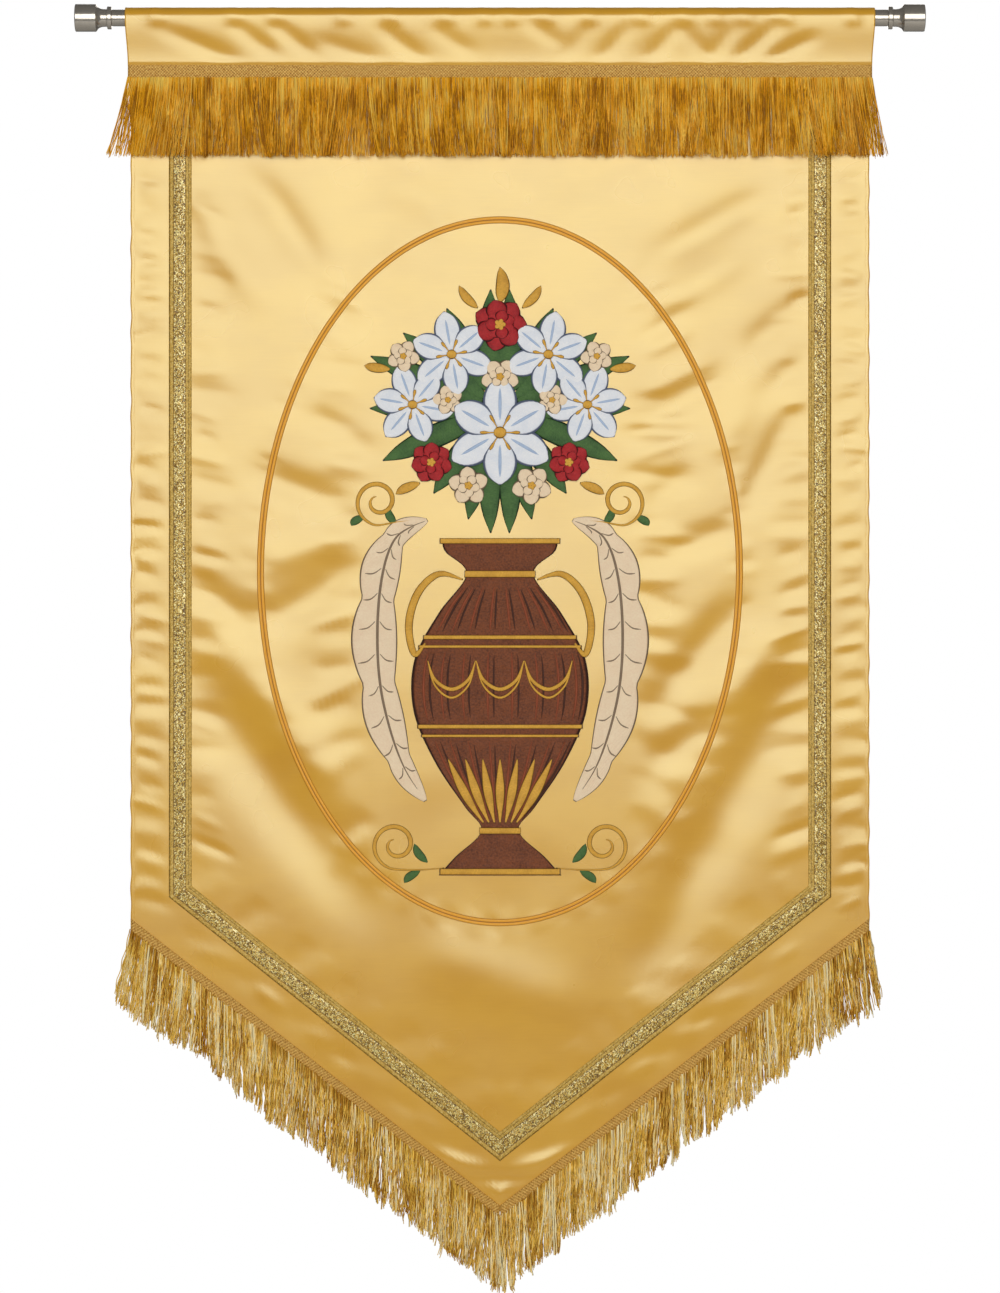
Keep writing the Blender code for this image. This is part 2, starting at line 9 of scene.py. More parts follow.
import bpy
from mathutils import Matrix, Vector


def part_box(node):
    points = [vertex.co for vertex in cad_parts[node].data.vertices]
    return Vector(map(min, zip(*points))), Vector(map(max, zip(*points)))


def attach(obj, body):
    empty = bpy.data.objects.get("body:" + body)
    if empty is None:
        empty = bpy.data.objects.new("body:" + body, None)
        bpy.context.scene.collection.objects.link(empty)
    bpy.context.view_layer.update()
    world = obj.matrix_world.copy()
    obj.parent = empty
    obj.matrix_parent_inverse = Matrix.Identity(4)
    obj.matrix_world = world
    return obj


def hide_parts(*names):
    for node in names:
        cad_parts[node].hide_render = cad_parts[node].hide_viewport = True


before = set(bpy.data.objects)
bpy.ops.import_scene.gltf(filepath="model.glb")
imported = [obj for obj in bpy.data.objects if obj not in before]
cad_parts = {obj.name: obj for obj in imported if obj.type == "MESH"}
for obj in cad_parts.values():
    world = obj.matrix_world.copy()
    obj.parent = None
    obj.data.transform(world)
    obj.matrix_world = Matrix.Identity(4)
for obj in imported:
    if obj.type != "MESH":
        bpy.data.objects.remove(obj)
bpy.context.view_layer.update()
print("pieces in the construction:", sorted(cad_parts))

# %% Modules
import math
import random
from collections import namedtuple

import bmesh
import bpy
import numpy as np

# %% [markdown]
# ## Driving sizes
# Lengths are in metres. X runs along the rod, Z is up and the banner's front faces -Y. The
# origin is on the rod's axis, halfway along it, and a "depth" is measured down from there, so a
# point's z is minus its depth. These sizes are the ones that a maker would write on the pattern:
# the cut of the cloth, the seam that closes its sleeve, and the widths of braid and fringe.

# %% The pattern's sizes
GAP = 0.0003
ROD_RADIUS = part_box("rod")[1].z
ROD_HALF_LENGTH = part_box("rod")[1].x
SHEET = 0.0010
HALF_WIDTH = 0.397
SEAM_HALF_WIDTH = 0.400
SLEEVE_HALF_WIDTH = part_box("banner_cloth")[1].x
SEAM_TOP = 0.0496
SEAM_FOOT = 0.0657
SIDE_DEPTH = 0.975
V_SLOPE = 0.777

# %% [markdown]
# ## Camera, light and floor
# The photograph looks straight at the banner from far away, so its rod and hems stay straight.
# A long lens does the same here. Satin shows its folds only by what it mirrors, which makes the
# light the most important choice: one broad panel stands in front, from the camera's height
# upwards. Cloth that faces it turns pale, and each flank that faces down turns a deep gold.

# %% Camera
PHOTO_HEIGHT = 1293
PIXEL = 0.80 / 744
ROD_ROW = 17.9
CAMERA_DISTANCE = 4.4
SENSOR = 36.0

view_height = PHOTO_HEIGHT * PIXEL
view_middle = (ROD_ROW - PHOTO_HEIGHT / 2) * PIXEL
lens = SENSOR * CAMERA_DISTANCE / view_height
camera_data = bpy.data.cameras.new("camera")
camera_data.sensor_width = SENSOR
camera_data.lens = lens
camera = bpy.data.objects.new("camera", camera_data)
camera.location = (0.0, -CAMERA_DISTANCE, view_middle)
camera.rotation_euler = (math.pi / 2, 0.0, 0.0)
bpy.context.scene.collection.objects.link(camera)
bpy.context.scene.camera = camera
bpy.context.scene.view_settings.view_transform = "Standard"
print("lens", round(lens, 1), "mm, aimed", round(view_middle, 3), "m from the rod's axis")

# %% Light
Panel = namedtuple("Panel", "name place aim width height brightness")
PANELS = (
    Panel("front panel", (0.0, -3.3, 0.17), (0.0, 0.0, -0.60), 2.8, 2.1, 4.45),
    Panel("back panel", (0.6, 4.5, 1.2), (0.0, 0.0, -0.60), 3.0, 3.0, 2.2),
)
SKY_SEEN = 1.0
SKY_LIGHT = 0.10


def add_panel(panel):
    """A soft light panel. Its brightness is its radiance, whatever its size."""
    light = bpy.data.lights.new(panel.name, "AREA")
    light.shape = "RECTANGLE"
    light.size = panel.width
    light.size_y = panel.height
    light.energy = panel.brightness * math.pi * panel.width * panel.height
    made = bpy.data.objects.new(panel.name, light)
    made.location = panel.place
    aim = np.array(panel.aim) - np.array(panel.place)
    flat = math.hypot(aim[0], aim[1])
    made.rotation_euler = (math.atan2(flat, -aim[2]), 0.0, math.atan2(aim[1], aim[0]) - math.pi / 2)
    made.visible_camera = False
    bpy.context.scene.collection.objects.link(made)


for panel in PANELS:
    add_panel(panel)
print("light panels:", [panel.name for panel in PANELS])

# %% [markdown]
# ## Nodes from Python expressions
# A material is a tree of nodes, and so is a Geometry Nodes tree. Wiring them by hand hides the
# sum that they work out. This small class wraps one output of a node, so that `1 - mask * 0.4`
# adds the Math nodes by itself, and one method adds every other kind of node.


# %% Wires and nets
class Wire:
    """One node output. Arithmetic adds Vector Math nodes to vectors and Math nodes to numbers."""

    def __init__(self, net, socket):
        self.net = net
        self.socket = socket

    def calculate(self, operation, *values):
        three = self.socket.type in ("VECTOR", "RGBA")
        kind = "ShaderNodeVectorMath" if three else "ShaderNodeMath"
        return self.net.add(kind, {"operation": operation}, values)

    def __add__(self, other):
        return self.calculate("ADD", self, other)

    def __sub__(self, other):
        return self.calculate("SUBTRACT", self, other)

    def __mul__(self, other):
        return self.calculate("MULTIPLY", self, other)

    def __truediv__(self, other):
        return self.calculate("DIVIDE", self, other)

    def __rsub__(self, other):
        return self.calculate("SUBTRACT", other, self)

    __radd__ = __add__
    __rmul__ = __mul__

    def power(self, exponent):
        return self.calculate("POWER", self, exponent)

    def sine(self):
        return self.calculate("SINE", self)

    def floor(self):
        return self.calculate("FLOOR", self)

    def size(self):
        return self.calculate("ABSOLUTE", self)

    def also(self, name):
        """Another output of the same node."""
        return Wire(self.net, self.socket.node.outputs[name])


class Net:
    """A node tree that grows by calls."""

    def __init__(self, tree):
        self.tree = tree

    def feed(self, socket, value):
        if isinstance(value, Wire):
            self.tree.links.new(value.socket, socket)
        elif socket.type == "VECTOR" and isinstance(value, (int, float)):
            socket.default_value = (value, value, value)
        elif socket.type == "RGBA":
            socket.default_value = (*value, 1.0)
        else:
            socket.default_value = value

    def add(self, kind, settings=None, values=(), output="", **inputs):
        """Adds a node: first its settings, then its sockets, by order or by name."""
        node = self.tree.nodes.new(kind)
        for name, value in (settings or {}).items():
            if name == "stops":
                set_stops(node.color_ramp, value)
            else:
                setattr(node, name, value)
        used = [socket for socket in node.inputs if socket.enabled]
        for socket, value in zip(used, values):
            self.feed(socket, value)
        for name, value in inputs.items():
            self.feed(next(s for s in used if s.name == name.replace("_", " ")), value)
        return Wire(self, next(s for s in node.outputs if s.enabled and output in ("", s.name)))

    def mix(self, share, first, second):
        """A colour between two."""
        return self.add("ShaderNodeMix", {"data_type": "RGBA"}, Factor=share, A=first, B=second)

    def ramp(self, share, *stops):
        """A colour from (place, colour) stops."""
        return self.add("ShaderNodeValToRGB", {"stops": stops}, Fac=share)

    def noise(self, place, scale, detail=2.0, output="Fac"):
        return self.add("ShaderNodeTexNoise", output=output, Vector=place, Scale=scale, Detail=detail)

    def smooth(self, value, start, end):
        """0 at start, 1 at end, and smooth between them."""
        settings = {"interpolation_type": "SMOOTHSTEP"}
        inputs = {"Value": value, "From_Min": start, "From_Max": end}
        return self.add("ShaderNodeMapRange", settings, **inputs)

    def line(self, value, place, half_width):
        """1 where a value is near this place, and 0 away from it."""
        return self.smooth((value - place).size(), half_width * 1.4, half_width * 0.6)

    def bump(self, height, distance, strength=1.0):
        return self.add("ShaderNodeBump", Height=height, Distance=distance, Strength=strength)

    def object_place(self):
        return self.add("ShaderNodeTexCoord", output="Object")

    def uv(self):
        """The piece's own map, in metres, as its two numbers."""
        place = self.add("ShaderNodeUVMap", {"uv_map": "stitches"})
        split = self.add("ShaderNodeSeparateXYZ", Vector=place)
        return place, split, split.also("Y")

    def attribute(self, name):
        return self.add("ShaderNodeAttribute", {"attribute_name": name}, output="Fac")


def set_stops(ramp, stops):
    (first, first_colour), *middle, (last, last_colour) = stops
    for element, position, colour in (
        (ramp.elements[0], first, first_colour),
        (ramp.elements[1], last, last_colour),
    ):
        element.position = position
        element.color = (*colour, 1.0)
    for position, colour in middle:
        ramp.elements.new(position).color = (*colour, 1.0)


def new_finish(name, **constants):
    """A material, its net and its shader. What is the same all over goes straight on sockets."""
    made = bpy.data.materials.new(name)
    made.use_nodes = True
    shader = made.node_tree.nodes["Principled BSDF"]
    for socket, value in constants.items():
        shader.inputs[socket.replace("_", " ")].default_value = value
    return made, Net(made.node_tree), shader


def paint(net, shader, **inputs):
    for name, value in inputs.items():
        net.feed(shader.inputs[name.replace("_", " ")], value)


print("node helpers are ready")

# %% The sky and the floor
FLOOR_LEVEL = -1.95
FLOOR_RADIUS = 3.0
FLOOR_SIDES = 96


def make_sky():
    """White where the camera sees it, and dimmer as a light, so that the folds keep their depth."""
    world = bpy.data.worlds.new("studio")
    world.use_nodes = True
    net = Net(world.node_tree)
    seen = net.add("ShaderNodeLightPath", output="Is Camera Ray")
    background = world.node_tree.nodes["Background"]
    net.feed(background.inputs["Color"], (1.0, 1.0, 1.0))
    net.feed(background.inputs["Strength"], seen * (SKY_SEEN - SKY_LIGHT) + SKY_LIGHT)
    bpy.context.scene.world = world


def make_floor():
    made, net, shader = new_finish("pale floor", Roughness=0.8)
    grain = net.noise(net.object_place(), 6.0, 4.0)
    paint(net, shader, Base_Color=net.mix(grain, (0.86, 0.86, 0.85), (0.90, 0.90, 0.89)))
    shape = bmesh.new()
    bmesh.ops.create_circle(shape, cap_ends=True, radius=FLOOR_RADIUS, segments=FLOOR_SIDES)
    mesh = bpy.data.meshes.new("floor")
    shape.to_mesh(mesh)
    shape.free()
    mesh.materials.append(made)
    floor = bpy.data.objects.new("floor", mesh)
    floor.location = (0.0, 0.0, FLOOR_LEVEL)
    bpy.context.scene.collection.objects.link(floor)


make_sky()
make_floor()
print("floor at", FLOOR_LEVEL, "m")

# %% [markdown]
# ## How the satin hangs
# Heavy satin on a rod hangs almost flat. What shows is a handful of soft diagonal folds, where
# the weight pulls from the sleeve to the point, and hundreds of small puckers where a seam, the
# braid or the embroidery has drawn the cloth in. Each is written here as a short line on the
# cloth with a width and a bulge: a ridge where the bulge is positive and a trough where it is
# negative. The main folds are listed one by one, the same ones that the construction has. The
# puckers repeat, so loops lay them along the seams at seeded, uneven steps.

# %% The main folds
Fold = namedtuple("Fold", "from_x from_depth to_x to_depth half_width bulge")
MAIN_FOLDS = (
    Fold(-0.274, 0.153, -0.204, 0.260, 0.022, -0.0042),
    Fold(-0.330, 0.190, -0.262, 0.300, 0.020, 0.0030),
    Fold(-0.120, 0.170, -0.060, 0.205, 0.024, 0.0022),
    Fold(0.276, 0.196, 0.172, 0.255, 0.020, -0.0036),
    Fold(0.255, 0.262, 0.175, 0.310, 0.018, 0.0022),
    Fold(0.328, 0.306, 0.273, 0.350, 0.017, -0.0030),
    Fold(0.328, 0.360, 0.268, 0.415, 0.017, -0.0030),
    Fold(0.315, 0.429, 0.271, 0.516, 0.018, -0.0034),
    Fold(0.234, 0.385, 0.150, 0.440, 0.018, -0.0030),
    Fold(0.290, 0.385, 0.238, 0.455, 0.016, 0.0020),
    Fold(0.197, 0.492, 0.165, 0.520, 0.015, -0.0024),
    Fold(0.191, 0.569, 0.246, 0.550, 0.015, -0.0024),
    Fold(-0.197, 0.429, -0.150, 0.455, 0.015, -0.0024),
    Fold(-0.253, 0.492, -0.170, 0.525, 0.018, -0.0034),
    Fold(-0.247, 0.649, -0.170, 0.600, 0.019, -0.0034),
    Fold(-0.250, 0.585, -0.180, 0.560, 0.017, 0.0024),
    Fold(-0.327, 0.602, -0.272, 0.654, 0.017, -0.0026),
    Fold(-0.329, 0.714, -0.161, 0.939, 0.032, -0.0052),
    Fold(-0.270, 0.700, -0.180, 0.830, 0.024, 0.0034),
    Fold(0.251, 0.638, 0.171, 0.737, 0.021, -0.0040),
    Fold(0.300, 0.660, 0.240, 0.740, 0.020, 0.0026),
    Fold(0.170, 0.800, 0.217, 0.764, 0.019, -0.0030),
    Fold(0.316, 0.726, 0.217, 0.898, 0.032, -0.0052),
    Fold(0.217, 0.898, 0.167, 1.013, 0.030, -0.0040),
    Fold(-0.060, 1.010, 0.060, 1.060, 0.035, 0.0030),
)
POINT_FOLDS = (
    Fold(-0.076, 1.221, -0.022, 1.237, 0.007, 0.0016),
    Fold(0.022, 1.237, 0.076, 1.221, 0.007, 0.0016),
    Fold(-0.026, 1.247, 0.026, 1.247, 0.006, -0.0014),
    Fold(-0.006, 1.263, 0.006, 1.263, 0.007, 0.0015),
)
# Where a kind of fold starts below the sleeve, and how far above the hem it has died away.
Fading = namedtuple("Fading", "start full hem_flat hem_blend")
MAIN_FADING = Fading(0.130, 0.200, 0.018, 0.045)
PUCKER_FADING = Fading(0.090, 0.130, 0.004, 0.014)


def ease(value, start, end):
    """0 before start, 1 after end, and smooth between them."""
    share = np.clip((value - start) / (end - start), 0.0, 1.0)
    return share * share * (3 - 2 * share)


def drop(x):
    """How much lower the V is here than at the cloth's side edge."""
    return V_SLOPE * (HALF_WIDTH - np.minimum(np.abs(x), HALF_WIDTH))


def hem_depth(x):
    return SIDE_DEPTH + drop(x)


def fold_sum(folds, x, depth):
    """How far all these folds together carry the cloth forward. Each one fades at its ends."""
    total = np.zeros_like(x)
    for fold in folds:
        step = np.array([fold.to_x - fold.from_x, fold.to_depth - fold.from_depth])
        half_length = np.linalg.norm(step) / 2
        step_x, step_depth = step / (2 * half_length)
        off_x = x - (fold.from_x + fold.to_x) / 2
        off_depth = depth - (fold.from_depth + fold.to_depth) / 2
        along = (off_x * step_x + off_depth * step_depth) / (half_length + fold.half_width * 0.6)
        across = (off_x * step_depth - off_depth * step_x) / fold.half_width
        total += fold.bulge * np.exp(-(across**2) - along**4)
    return total


def faded(total, fading, x, depth):
    above_hem = hem_depth(x) - depth
    shown = ease(depth, fading.start, fading.full)
    return total * shown * ease(above_hem, fading.hem_flat, fading.hem_flat + fading.hem_blend)


print(len(MAIN_FOLDS), "main folds")

# %% Puckers along the seams
PUCKER_SEED = 4
BRAID_OUTER = 0.3560
BRAID_WIDTH = 0.0245
BRAID_V_DEPTH = 0.9127
BRAID_V_TILT = 1.026
OVAL_DEPTH = 0.595
OVAL_HALF_WIDTH = 0.2612
OVAL_HALF_HEIGHT = 0.3815
EMBLEM_HALF_WIDTH = 0.158
# One line of puckers: how far apart they are, how long, how wide and how high each is.
Seam = namedtuple("Seam", "spacing reach half_width bulge")
HEM_SEAM = Seam((0.009, 0.021), (0.005, 0.013), (0.0035, 0.0075), (0.0003, 0.0010))
BRAID_SEAM = Seam((0.012, 0.028), (0.005, 0.024), (0.005, 0.009), (0.0003, 0.0011))
V_SEAM = Seam((0.018, 0.040), (0.006, 0.018), (0.006, 0.010), (0.0003, 0.0009))
OVAL_SEAM = Seam((0.014, 0.032), (0.005, 0.014), (0.004, 0.007), (0.0002, 0.0007))
EMBLEM_SEAM = Seam((0.013, 0.029), (0.010, 0.034), (0.006, 0.010), (0.0002, 0.0012))
EMBLEM_FAN = 1.8
EMBLEM_FAN_DEPTH = 0.53


def pucker(chance, seam, sign, x, depth, angle):
    """One pucker with its middle here. Its angle is counted from the X axis, downwards."""
    reach = chance.uniform(*seam.reach)
    turn = angle + chance.uniform(-0.25, 0.25)
    step_x = reach * math.cos(turn)
    step_depth = reach * math.sin(turn)
    half_width = chance.uniform(*seam.half_width)
    bulge = sign * chance.uniform(*seam.bulge)
    return Fold(x - step_x, depth - step_depth, x + step_x, depth + step_depth, half_width, bulge)


def uneven_steps(chance, start, end, spacing):
    """Places from start to end at uneven steps, each with the other sign than the one before."""
    place = start
    sign = 1
    while place < end:
        yield place, sign
        place += chance.uniform(*spacing)
        sign = -sign


def side_puckers(chance):
    made = []
    inner = BRAID_OUTER - BRAID_WIDTH
    for side in (-1, 1):
        for depth, sign in uneven_steps(chance, 0.160, 0.955, HEM_SEAM.spacing):
            made.append(pucker(chance, HEM_SEAM, sign, side * chance.uniform(0.372, 0.382), depth, 0.0))
        for depth, sign in uneven_steps(chance, 0.160, 0.900, BRAID_SEAM.spacing):
            start = inner - chance.uniform(0.006, 0.022)
            made.append(pucker(chance, BRAID_SEAM, sign, side * start, depth, side * -0.15))
    return made


def v_puckers(chance):
    """Puckers across the braid's V, on both sides of it."""
    made = []
    for side in (-1, 1):
        for x, sign in uneven_steps(chance, 0.020, 0.330, V_SEAM.spacing):
            depth = BRAID_V_DEPTH + BRAID_V_TILT * drop(x)
            for away in (0.022, -0.050):
                lean = side * (-0.5 if away > 0 else 0.9)
                made.append(pucker(chance, V_SEAM, sign, side * x, float(depth) + away, lean))
    return made


def oval_puckers(chance):
    made = []
    for place, sign in uneven_steps(chance, 0.0, 2 * math.pi * 0.32, OVAL_SEAM.spacing):
        angle = place / 0.32
        x = OVAL_HALF_WIDTH * math.cos(angle)
        depth = OVAL_DEPTH + OVAL_HALF_HEIGHT * math.sin(angle)
        out = math.atan2(math.sin(angle) / OVAL_HALF_HEIGHT, math.cos(angle) / OVAL_HALF_WIDTH)
        made.append(pucker(chance, OVAL_SEAM, sign, x, depth, out))
    return made


def emblem_puckers(chance):
    made = []
    for side in (-1, 1):
        for depth, sign in uneven_steps(chance, 0.300, 0.915, EMBLEM_SEAM.spacing):
            away = EMBLEM_HALF_WIDTH + chance.uniform(0.0, 0.026)
            angle = side * EMBLEM_FAN * (depth - EMBLEM_FAN_DEPTH)
            made.append(pucker(chance, EMBLEM_SEAM, sign, side * away, depth, angle))
    return made


def soft_waves(chance):
    """Broad, low waves all over the panel, so that no stretch of satin is quite flat."""
    made = []
    for _ in range(WAVE_COUNT):
        x = chance.uniform(-0.36, 0.36)
        depth = chance.uniform(0.16, 1.15)
        turn = chance.uniform(-1.1, 1.1)
        reach = chance.uniform(0.015, 0.050)
        step_x = reach * math.cos(turn)
        step_depth = reach * math.sin(turn)
        half_width = chance.uniform(0.020, 0.038)
        bulge = chance.uniform(-0.0007, 0.0007)
        made.append(Fold(x - step_x, depth - step_depth, x + step_x, depth + step_depth, half_width, bulge))
    return made


WAVE_COUNT = 50
pucker_chance = random.Random(PUCKER_SEED)
PUCKERS = side_puckers(pucker_chance) + v_puckers(pucker_chance)
PUCKERS += oval_puckers(pucker_chance) + emblem_puckers(pucker_chance) + list(POINT_FOLDS)
WAVES = soft_waves(pucker_chance)
print(len(PUCKERS), "puckers and", len(WAVES), "broad waves")

# %% [markdown]
# ## The cloth's surface as one formula
# Braid, cord and embroidery lie on the satin and follow every fold of it. They all ask the same
# function where the cloth's front is, so nothing floats and nothing sinks in. The hem is part
# of it: a strip at each side edge that is a little thicker, with a groove where it is stitched.

# %% The surface that everything lies on
HEM_STITCH = 0.0043
HEM_RISE = 0.0004
HEM_GROOVE = 0.0004
HEM_GROOVE_WIDTH = 0.0007


def hem_relief(x):
    """The folded hem at each side edge stands a little proud, and its stitches pull it in."""
    inwards = HALF_WIDTH - np.abs(x)
    raised = HEM_RISE * (1 - ease(inwards, HEM_STITCH, HEM_STITCH + 0.0015))
    groove = HEM_GROOVE * np.exp(-(((inwards - HEM_STITCH) / HEM_GROOVE_WIDTH) ** 2))
    return raised - groove


def relief(x, depth):
    """How far the panel's middle layer stands forward at these places."""
    main = faded(fold_sum(MAIN_FOLDS + tuple(WAVES), x, depth), MAIN_FADING, x, depth)
    small = faded(fold_sum(PUCKERS, x, depth), PUCKER_FADING, x, depth)
    return main + small


def on_front(x, depth, lift):
    """Points so far in front of the cloth's front face, as rows of (x, y, z)."""
    return np.stack([x, -SHEET / 2 - relief(x, depth) - lift, -depth], axis=-1)


sample_x = np.linspace(-0.3, 0.3, 61)
sample_relief = relief(sample_x, np.full_like(sample_x, 0.8))
print("relief at a depth of 0.8 m, in mm:", np.round(sample_relief.min() * 1000, 1),
      "to", np.round(sample_relief.max() * 1000, 1))

# %% Grids become pieces
SHARP_EDGE = math.radians(40)


def grid_faces(rows, columns, first=0, wrap=False):
    """The quads of a grid of points. A wrapped grid joins its last row to its first."""
    steps = rows if wrap else rows - 1
    row = np.arange(steps)[:, None]
    column = np.arange(columns - 1)[None, :]
    after = (row + 1) % rows
    corners = (
        row * columns + column,
        row * columns + column + 1,
        after * columns + column + 1,
        after * columns + column,
    )
    return np.stack(np.broadcast_arrays(*corners), axis=-1).reshape(-1, 4) + first


def add_piece(name, mesh, material):
    """Recalculates a closed mesh's normals and links it as a piece with smooth faces."""
    shape = bmesh.new()
    shape.from_mesh(mesh)
    bmesh.ops.recalc_face_normals(shape, faces=shape.faces)
    shape.to_mesh(mesh)
    shape.free()
    mesh.shade_smooth()
    mesh.materials.append(material)
    made = bpy.data.objects.new(name, mesh)
    bpy.context.scene.collection.objects.link(made)
    return made


class Layers:
    """Raised layers on the cloth's front, gathered from grids and made into one closed piece."""

    def __init__(self):
        self.points = []
        self.faces = []
        self.uv = []
        self.tone = []
        self.count = 0

    def add(self, x, depth, height, u, v, base=0.0, tone=0.0, wrap=False):
        """One grid of places, with the height of its top above the layer's base."""
        rows, columns = x.shape
        below = on_front(x, depth, np.full_like(x, base))
        above = below - np.stack([np.zeros(x.shape), height, np.zeros(x.shape)], axis=-1)
        grids = (above, below)
        top = self.count
        foot = top + rows * columns
        for grid in grids:
            self.points.append(grid.reshape(-1, 3))
            self.uv.append(np.stack([u, v], axis=-1).reshape(-1, 2))
            self.tone.append(np.broadcast_to(tone, x.shape).reshape(-1))
        self.faces.append(grid_faces(rows, columns, top, wrap))
        self.faces.append(grid_faces(rows, columns, foot, wrap))
        index = np.arange(rows * columns).reshape(rows, columns)
        borders = [index[:, 0], index[:, -1]]
        if wrap:
            borders = [np.append(border, border[0]) for border in borders]
        else:
            borders += [index[0], index[-1]]
        for border in borders:
            start, end = border[:-1], border[1:]
            self.faces.append(np.stack([start + top, end + top, end + foot, start + foot], axis=-1))
        self.count += 2 * rows * columns

    def piece(self, name, material):
        mesh = bpy.data.meshes.new(name)
        points = np.concatenate(self.points)
        faces = np.concatenate(self.faces)
        mesh.from_pydata(points.tolist(), [], faces.tolist())
        corners = np.empty(len(mesh.loops), dtype=np.int32)
        mesh.loops.foreach_get("vertex_index", corners)
        layer = mesh.uv_layers.new(name="stitches")
        layer.uv.foreach_set("vector", np.concatenate(self.uv)[corners].astype(np.float32).ravel())
        tone = mesh.attributes.new("tone", "FLOAT", "POINT")
        tone.data.foreach_set("value", np.concatenate(self.tone).astype(np.float32))
        made = add_piece(name, mesh, material)
        print(name, "has", 2 * len(faces), "triangles")
        return made


# %% [markdown]
# ## Gold satin
# Satin is woven so that long threads float over the others, which is why it shines. Its gold is
# the colour of the thread below a nearly white gloss. Here the shader's base colour is that
# deep gold, and a strong, soft gloss with a thin coat over it gives the pale places. The weave
# itself is far finer than a pixel, so only a faint grain and a few thicker threads are left.

# %% The satin's finish
SATIN_GOLD = (0.760, 0.385, 0.024)
SATIN_DEEP = (0.700, 0.335, 0.018)


def make_satin():
    made, net, shader = new_finish(
        "gold satin",
        IOR=2.0,
        Specular_Tint=(0.92, 1.0, 0.67, 1.0),
        Coat_Weight=0.12,
        Coat_Roughness=0.20,
        Coat_IOR=1.5,
    )
    place = net.object_place()
    broad = net.noise(place * (1.0, 1.0, 2.0), 9.0, 3.0)
    grain = net.noise(place * (900.0, 900.0, 2600.0), 1.0, 2.0)
    slubs = net.noise(place * (26.0, 26.0, 900.0), 1.0, 3.0)
    weave = grain * 0.6 + slubs * 0.4
    paint(
        net,
        shader,
        Base_Color=net.mix(net.smooth(broad * 0.8 + slubs * 0.2, 0.35, 0.65), SATIN_DEEP, SATIN_GOLD),
        Roughness=net.noise(place, 14.0) * 0.08 + 0.245,
        Normal=net.bump(weave, 0.00012, 0.35),
    )
    return made


satin = make_satin()
print("finish:", satin.name)

# %% [markdown]
# ## The cloth
# The sheet starts at the sleeve's flap behind the panel, climbs the back, goes over the rod and
# comes down the front to the pointed hem. It is one grid of points, because the real cloth is
# one length. The rows slope more and more towards the foot, so the last row is the hem itself.
# The sleeve is pulled in where it is sewn, which leaves soft ridges that run up towards the rod.

# %% The sleeve's folds
SLEEVE_FOLDS = (
    Fold(-0.359, 0.014, -0.285, 0.047, 0.009, -0.0022),
    Fold(-0.285, 0.007, -0.246, 0.038, 0.008, -0.0022),
    Fold(-0.241, 0.007, -0.202, 0.040, 0.008, -0.0022),
    Fold(-0.189, 0.026, -0.135, 0.046, 0.009, -0.0014),
    Fold(-0.126, 0.012, -0.084, 0.045, 0.008, -0.0020),
    Fold(-0.071, 0.012, -0.034, 0.036, 0.008, -0.0014),
    Fold(0.033, 0.007, 0.061, 0.027, 0.008, -0.0014),
    Fold(0.097, 0.010, 0.068, 0.042, 0.008, -0.0012),
    Fold(0.137, 0.010, 0.111, 0.044, 0.008, -0.0022),
    Fold(0.189, 0.010, 0.160, 0.046, 0.008, -0.0022),
    Fold(0.198, 0.014, 0.226, 0.045, 0.007, -0.0016),
    Fold(0.251, 0.010, 0.227, 0.042, 0.007, -0.0018),
    Fold(0.298, 0.007, 0.257, 0.045, 0.008, -0.0024),
    Fold(0.335, 0.022, 0.290, 0.047, 0.008, -0.0022),
)
RIDGE_PLACES = (-0.372, -0.290, -0.246, -0.172, -0.120, -0.061, -0.020, 0.008)
RIDGE_PLACES += (0.046, 0.092, 0.149, 0.196, 0.227, 0.260, 0.303, 0.375)
RIDGE_TOP = -0.010
RIDGE_FOOT = 0.004
RIDGE_HALF_WIDTH = 0.0075
RIDGE_HEIGHT = 0.0016
SLEEVE_FOLD_SHARE = 0.70
RIDGES = tuple(
    Fold(place, RIDGE_TOP, place + 0.004, RIDGE_FOOT, RIDGE_HALF_WIDTH, RIDGE_HEIGHT)
    for place in RIDGE_PLACES
)
print(len(RIDGES), "ridges at the rod and", len(SLEEVE_FOLDS), "folds below them")

# %% The cloth's grid
SLEEVE_RADIUS = 0.0107
FLAP_DISTANCE = 0.0021
FLAP_ROWS = 4
BACK_ROWS = 8
ARC_ROWS = 28
FRONT_ROWS = 18
PANEL_ROWS = 288
MIDDLE_COLUMNS = 56
EDGE_OFFSETS = (0.0112, 0.0078, 0.0056, 0.0048, 0.0043, 0.0038, 0.0028, 0.0014, 0.0)
# How much of the folds shows: from the seam (0) up the front to the rod (1), and over it (2).
FOLD_SHARES = ((0.0, 0.2), (0.15, 1.0), (1.2, 1.0), (1.42, 0.0))
EDGE_WAVE = 0.0006
SLEEVE_SLACK = 0.0030
SEAM_OVERHANG = 0.0028


def cloth_columns():
    edge = HALF_WIDTH - np.array(EDGE_OFFSETS)
    middle = np.linspace(0.0, edge[0], MIDDLE_COLUMNS, endpoint=False)
    right = np.concatenate([middle, edge])
    return np.concatenate([-right[:0:-1], right])


